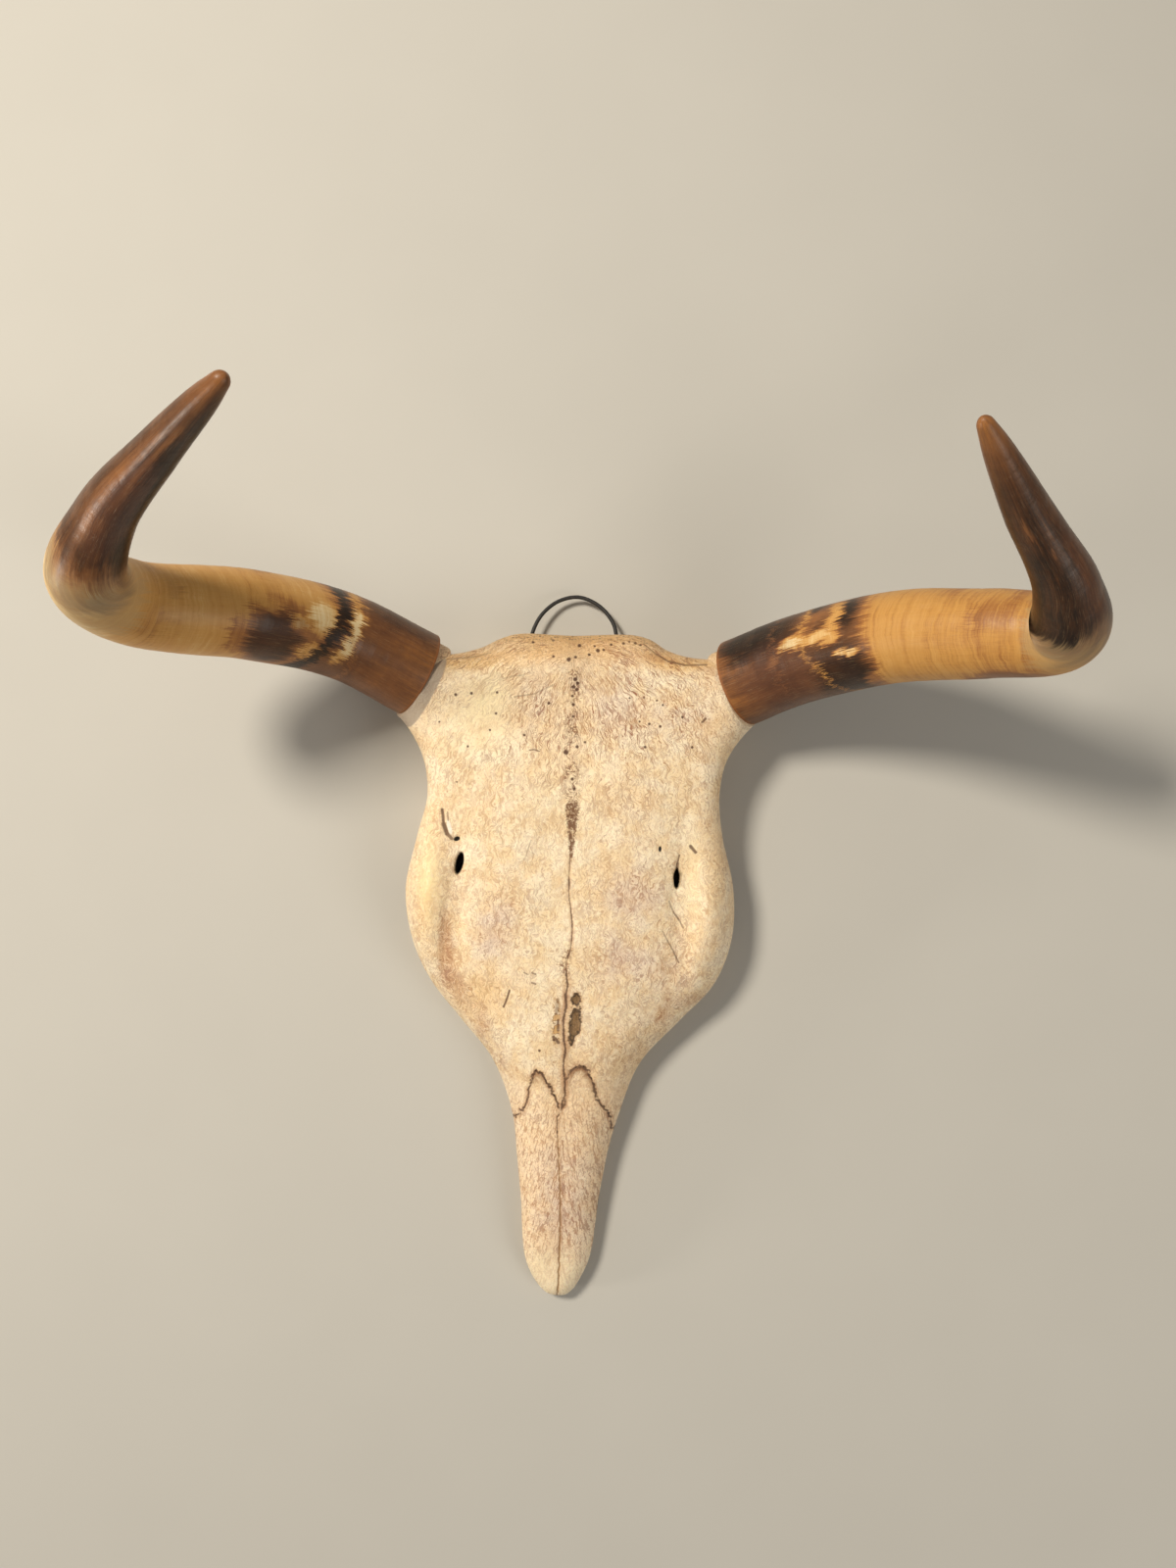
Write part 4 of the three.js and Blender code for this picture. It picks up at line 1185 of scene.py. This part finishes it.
    marks = bone_marks(bone, flat, ragged * 0.45) * (1 - sawn)
    lines = bone_lines(bone, flat, ragged * 0.55) * (1 - sawn)
    holes = bone_hole_shade(bone, flat, ragged * 0.5) * (1 - sawn)
    chip = bone.out_of_oval(flat, (-80, 36), (1.4, 5.4), 14)
    bone.paint((chip + ragged * 0.3).rises(1.1, 0.8) * 0.8, (253, 246, 230))
    bone.paint(lines * 0.85, (100, 66, 42))
    bone.paint(marks * 0.92, (80, 43, 20))
    # Painted shade: the openings are painted nearly black, standing for their depth.
    bone.paint(holes, (24, 18, 14))

    # The porous back of the poll, the sawn back and the filler beside a horn.
    porous = y.rises(155, 166) * z.rises(66, 56)
    pores = dashes(bone, place, 0.5, 0.6, 0.5)
    bone.paint(porous * 0.5, (214, 168, 106))
    bone.paint(porous * pores * 0.75, (96, 62, 38))
    bone.paint(sawn, bone.blend(patchy, colour(222, 196, 154), colour(192, 160, 118)))
    bone.paint(sawn * pores * 0.6, (128, 96, 66))
    bone.paint((filler * (0.6 + fine * 0.8)).rises(0.35, 0.75) * 0.8, (160, 144, 128))

    height = fine * 0.16 + grit * 0.06 + patchy * 0.5 - fur * 0.1 - curls * 0.06
    roughness = 0.4 + patchy * 0.18 + strokes * 0.12 + sawn * 0.15 - polish * 0.16 + basins * 0.1
    return bone.finish(roughness.least(0.9), height, IOR=1.5, Subsurface_Weight=0.06,
                       Subsurface_Radius=(0.8, 0.45, 0.25), Subsurface_Scale=0.0016)


HORN_RADIUS = 26  # to which every ring of a horn is rolled, so that its pattern keeps its size
TONES = [
    (0, colour(232, 208, 160)), (0.14, colour(218, 182, 124)), (0.28, colour(204, 154, 86)),
    (0.42, colour(194, 142, 74)), (0.55, colour(160, 106, 56)), (0.67, colour(126, 82, 48)),
    (0.8, colour(84, 53, 31)), (0.92, colour(46, 30, 19)), (1, colour(28, 18, 12)),
]


def zone_tone(horn, share, past_bend, turn, zones):
    """The tone of a horn's colour from its body, shaft, stripes and patches."""
    at = horn.vector(share, turn, 0)

    def patch(middle, where, half_along, half_turn, strength):
        return horn.out_of_oval(at, (middle, where), (half_along, half_turn)).rises(1.38, 0.48, strength)

    def along_table(amount, table):
        return horn.ramp(amount, [(place, (value, value, value, 1)) for place, value in table])

    tone = along_table(share, zones["body"])
    shaft = along_table(past_bend, zones["shaft"])
    bend = along_table(turn * 0.5 + 0.5, [((place + 1) / 2, value) for place, value in zones["bend"]])
    tone = tone + (shaft - tone) * (past_bend - bend).rises(-0.02, 0.028)
    for *spot, aim, strength in zones["patches"]:
        tone = tone + (aim - tone) * patch(*spot, strength)
    for start, growth, below, half_width, aim, strength in zones["stripes"]:
        centre = start + (turn - below).least(0) * growth
        tone = tone + (aim - tone) * (abs(share - centre) / half_width).rises(1.3, 0.6, strength)
    tints = [reduce(Amount.most, (patch(*spot) for spot in zones[kind])) for kind in ("rosy", "mossy")]
    return tone, *tints, abs(past_bend - bend + 0.01).rises(0.045, 0.005)


def horn_finish(name, length, zones, seed):
    horn = Finish(name)
    kinds = ("along", "facing", "topside", "inside")
    along, facing, topside, inside = (horn.recorded(kind) for kind in kinds)
    turn = topside.turn_of(facing) * (2 / math.pi)
    round_x, round_y = facing * HORN_RADIUS, topside * HORN_RADIUS
    fibres = horn.vector(round_x, round_y, along * 0.06 + seed)
    streaks = horn.cloud(fibres, 0.3, 4, 0.65)
    threads = horn.cloud(fibres, 1.5, 3, 0.7)
    blotches = horn.cloud(horn.vector(round_x * 0.6, round_y * 0.6, along * 0.4 + seed), 0.09, 4, 0.62)
    ragged = along + (streaks - 0.5) * 22 + (threads - 0.5) * 22 + (blotches - 0.5) * 12
    uneven_turn = turn + (blotches - 0.5) * 0.3 + (threads - 0.5) * 0.26
    past_bend = (along + (blotches - 0.5) * 30 + (streaks - 0.5) * 12 + (threads - 0.5) * 5) / length
    tone, rosy, mossy, at_bend = zone_tone(horn, ragged / length, past_bend, uneven_turn, zones)

    # Growth lines run round the horn in shallow arcs, and show most where it is honey coloured.
    arcs = along + facing * 5 + blotches * 9 + seed
    lines = horn.cloud(horn.vector(round_x * 0.03, round_y * 0.03, arcs), 0.75, 3, 0.75)
    bands = horn.cloud(horn.vector(round_x * 0.05, round_y * 0.05, arcs), 0.1, 3, 0.6)
    honey = tone.rises(0.66, 0.5)
    on_shaft = along.rises(0.58 * length, 0.66 * length)
    varied = tone + (streaks - 0.5) * (0.14 + 0.1 * on_shaft - 0.06 * honey)
    varied = varied + (threads - 0.5) * (0.12 + 0.14 * on_shaft) + (blotches - 0.5) * 0.3
    varied = varied + (lines - 0.5) * (0.05 + 0.36 * honey) + (bands - 0.5) * (0.05 + 0.34 * honey)
    horn.base = horn.ramp(varied, TONES)
    horn.paint((rosy * (0.55 + blotches)).rises(0.15, 1) * 0.38, (104, 68, 54))
    horn.paint((mossy * (0.55 + streaks)).rises(0.15, 1) * 0.55, (176, 148, 104))
    horn.paint(at_bend * (0.35 + streaks * 0.7), (128, 106, 82))
    scratches = horn.cloud(horn.vector(round_x, round_y, along * 0.025 + seed), 4, 1).rises(0.64, 0.74)
    horn.paint(scratches * 0.2, (206, 170, 122))
    pits = horn.cloud(horn.vector(round_x, round_y, along * 0.5), 1.6, 2, 0.6).rises(0.66, 0.74)
    horn.paint(pits * 0.25, (70, 46, 30))
    rim = along.rises(2.6, 0.8)
    horn.paint(rim * 0.55, (158, 98, 52))
    horn.paint(inside, (120, 84, 54))
    height = (streaks - 0.5) * 0.09 + (lines - 0.5) * (0.08 - 0.06 * on_shaft) + (threads - 0.5) * 0.015
    height = height + (bands - 0.5) * 0.4 - scratches * 0.03 - pits * 0.05
    roughness = 0.27 + blotches * 0.16 + scratches * 0.12 + rim * 0.2 + honey * 0.06
    return horn.finish(roughness, height, IOR=1.5, Specular_IOR_Level=0.34,
                       Subsurface_Weight=0.05, Subsurface_Radius=(1, 0.5, 0.25), Subsurface_Scale=0.002)


def wire_finish():
    wire = Finish("black_wire")
    place = wire.place()
    scuffs = wire.cloud(place, 0.8, 4, 0.65)
    fine = wire.cloud(place, 4, 2)
    wire.base = wire.blend(scuffs.rises(0.52, 0.72) * 0.5, colour(30, 28, 27), colour(84, 72, 62))
    return wire.finish(0.42 + scuffs * 0.3, fine * 0.05, IOR=1.5)


def floor_finish():
    floor = Finish("pale_floor")
    place = floor.place()
    faint = floor.cloud(place, 0.01, 2)
    floor.base = floor.blend(faint, colour(191, 188, 181), colour(195, 192, 185))
    return floor.finish(0.85, Specular_IOR_Level=0.2)


# ---------------------------------------------------------------- camera, light and floor


def make_camera():
    data = bpy.data.cameras.new("view_from_above")
    data.lens = 27.045
    data.sensor_width = 36
    data.sensor_fit = "AUTO"
    data.clip_end = 50
    camera = bpy.data.objects.new("view_from_above", data)
    camera.location = (0.00603, 0.08965, 0.846)
    camera.rotation_euler = (0, 0, math.radians(1.28))
    bpy.context.scene.collection.objects.link(camera)
    bpy.context.scene.camera = camera


def soft_light(name, place, aim, size, power, tint):
    data = bpy.data.lights.new(name, "AREA")
    data.shape = "DISK"
    data.size = size
    data.energy = power
    data.color = tint
    light = bpy.data.objects.new(name, data)
    light.location = place
    light.rotation_euler = (Vector(aim) - Vector(place)).to_track_quat("-Z", "Y").to_euler()
    bpy.context.scene.collection.objects.link(light)


def make_studio():
    soft_light("key_light", (-0.95, 0.90, 1.75), (0, 0.05, 0.05), 0.45, 43, (1.0, 0.92, 0.79))
    soft_light("side_light", (-1.7, -0.50, 0.40), (-0.1, 0.05, 0.15), 0.30, 9, (1.0, 0.93, 0.82))
    soft_light("fill_light", (1.6, -0.9, 1.5), (0, 0, 0.05), 1.2, 14, (1.0, 0.95, 0.86))
    world = bpy.data.worlds.new("studio")
    world.use_nodes = True
    world.node_tree.nodes["Background"].inputs["Color"].default_value = (1.0, 0.97, 0.92, 1)
    world.node_tree.nodes["Background"].inputs["Strength"].default_value = 0.20
    bpy.context.scene.world = world
    bpy.context.scene.view_settings.view_transform = "Standard"
    pick()
    bpy.ops.mesh.primitive_plane_add(size=8, location=(0, 0, 0))
    floor = bpy.context.object
    floor.name = "floor"
    coat(floor, floor_finish())


def finish_piece(piece, material, slot, *nodes):
    coat(piece, material)
    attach(piece, "root")
    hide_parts(*nodes)


make_camera()
make_studio()

bone_material = bone_finish()
forehead = make_forehead()
smooth(forehead)
finish_piece(forehead, bone_material, "bone", "frontal_left", "frontal_right", "occipital")

tip_split = float(np.interp(NOSE_SEAM[0][0], nose_tip[:, 0], shares_of(nose_tip)))
tip_left = along_line(nose_tip, np.linspace(0, tip_split, 40))
tip_right = along_line(nose_tip, np.linspace(tip_split, 1, 40))
nose_left = make_nose_bone("nose_bone_left", below_seam(left_side, LEFT_SEAM_Y), tip_left, left_seam, 0)
nose_right = make_nose_bone("nose_bone_right", below_seam(right_side, RIGHT_SEAM_Y), tip_right, right_seam, 1)
for nose_bone, node in ((nose_left, "nasal_left"), (nose_right, "nasal_right")):
    smooth(nose_bone)
    finish_piece(nose_bone, bone_material, "bone", node)

for name, horn, zones, seed, node in (
    ("horn_sheath_left", LEFT_HORN, LEFT_ZONES, 3.0, "horn_left"),
    ("horn_sheath_right", RIGHT_HORN, RIGHT_ZONES, 47.0, "horn_right"),
):
    sheath = make_sheath(name, horn, seed)
    smooth(sheath, angle=40)
    length = length_of(smooth_line(horn["line"]))
    horn_material = horn_finish("polished_" + name.replace("_sheath", ""), length, zones, seed)
    finish_piece(sheath, horn_material, "horn", node)

wire = make_wire()
smooth(wire)
finish_piece(wire, wire_finish(), "wire", "hanging_wire")
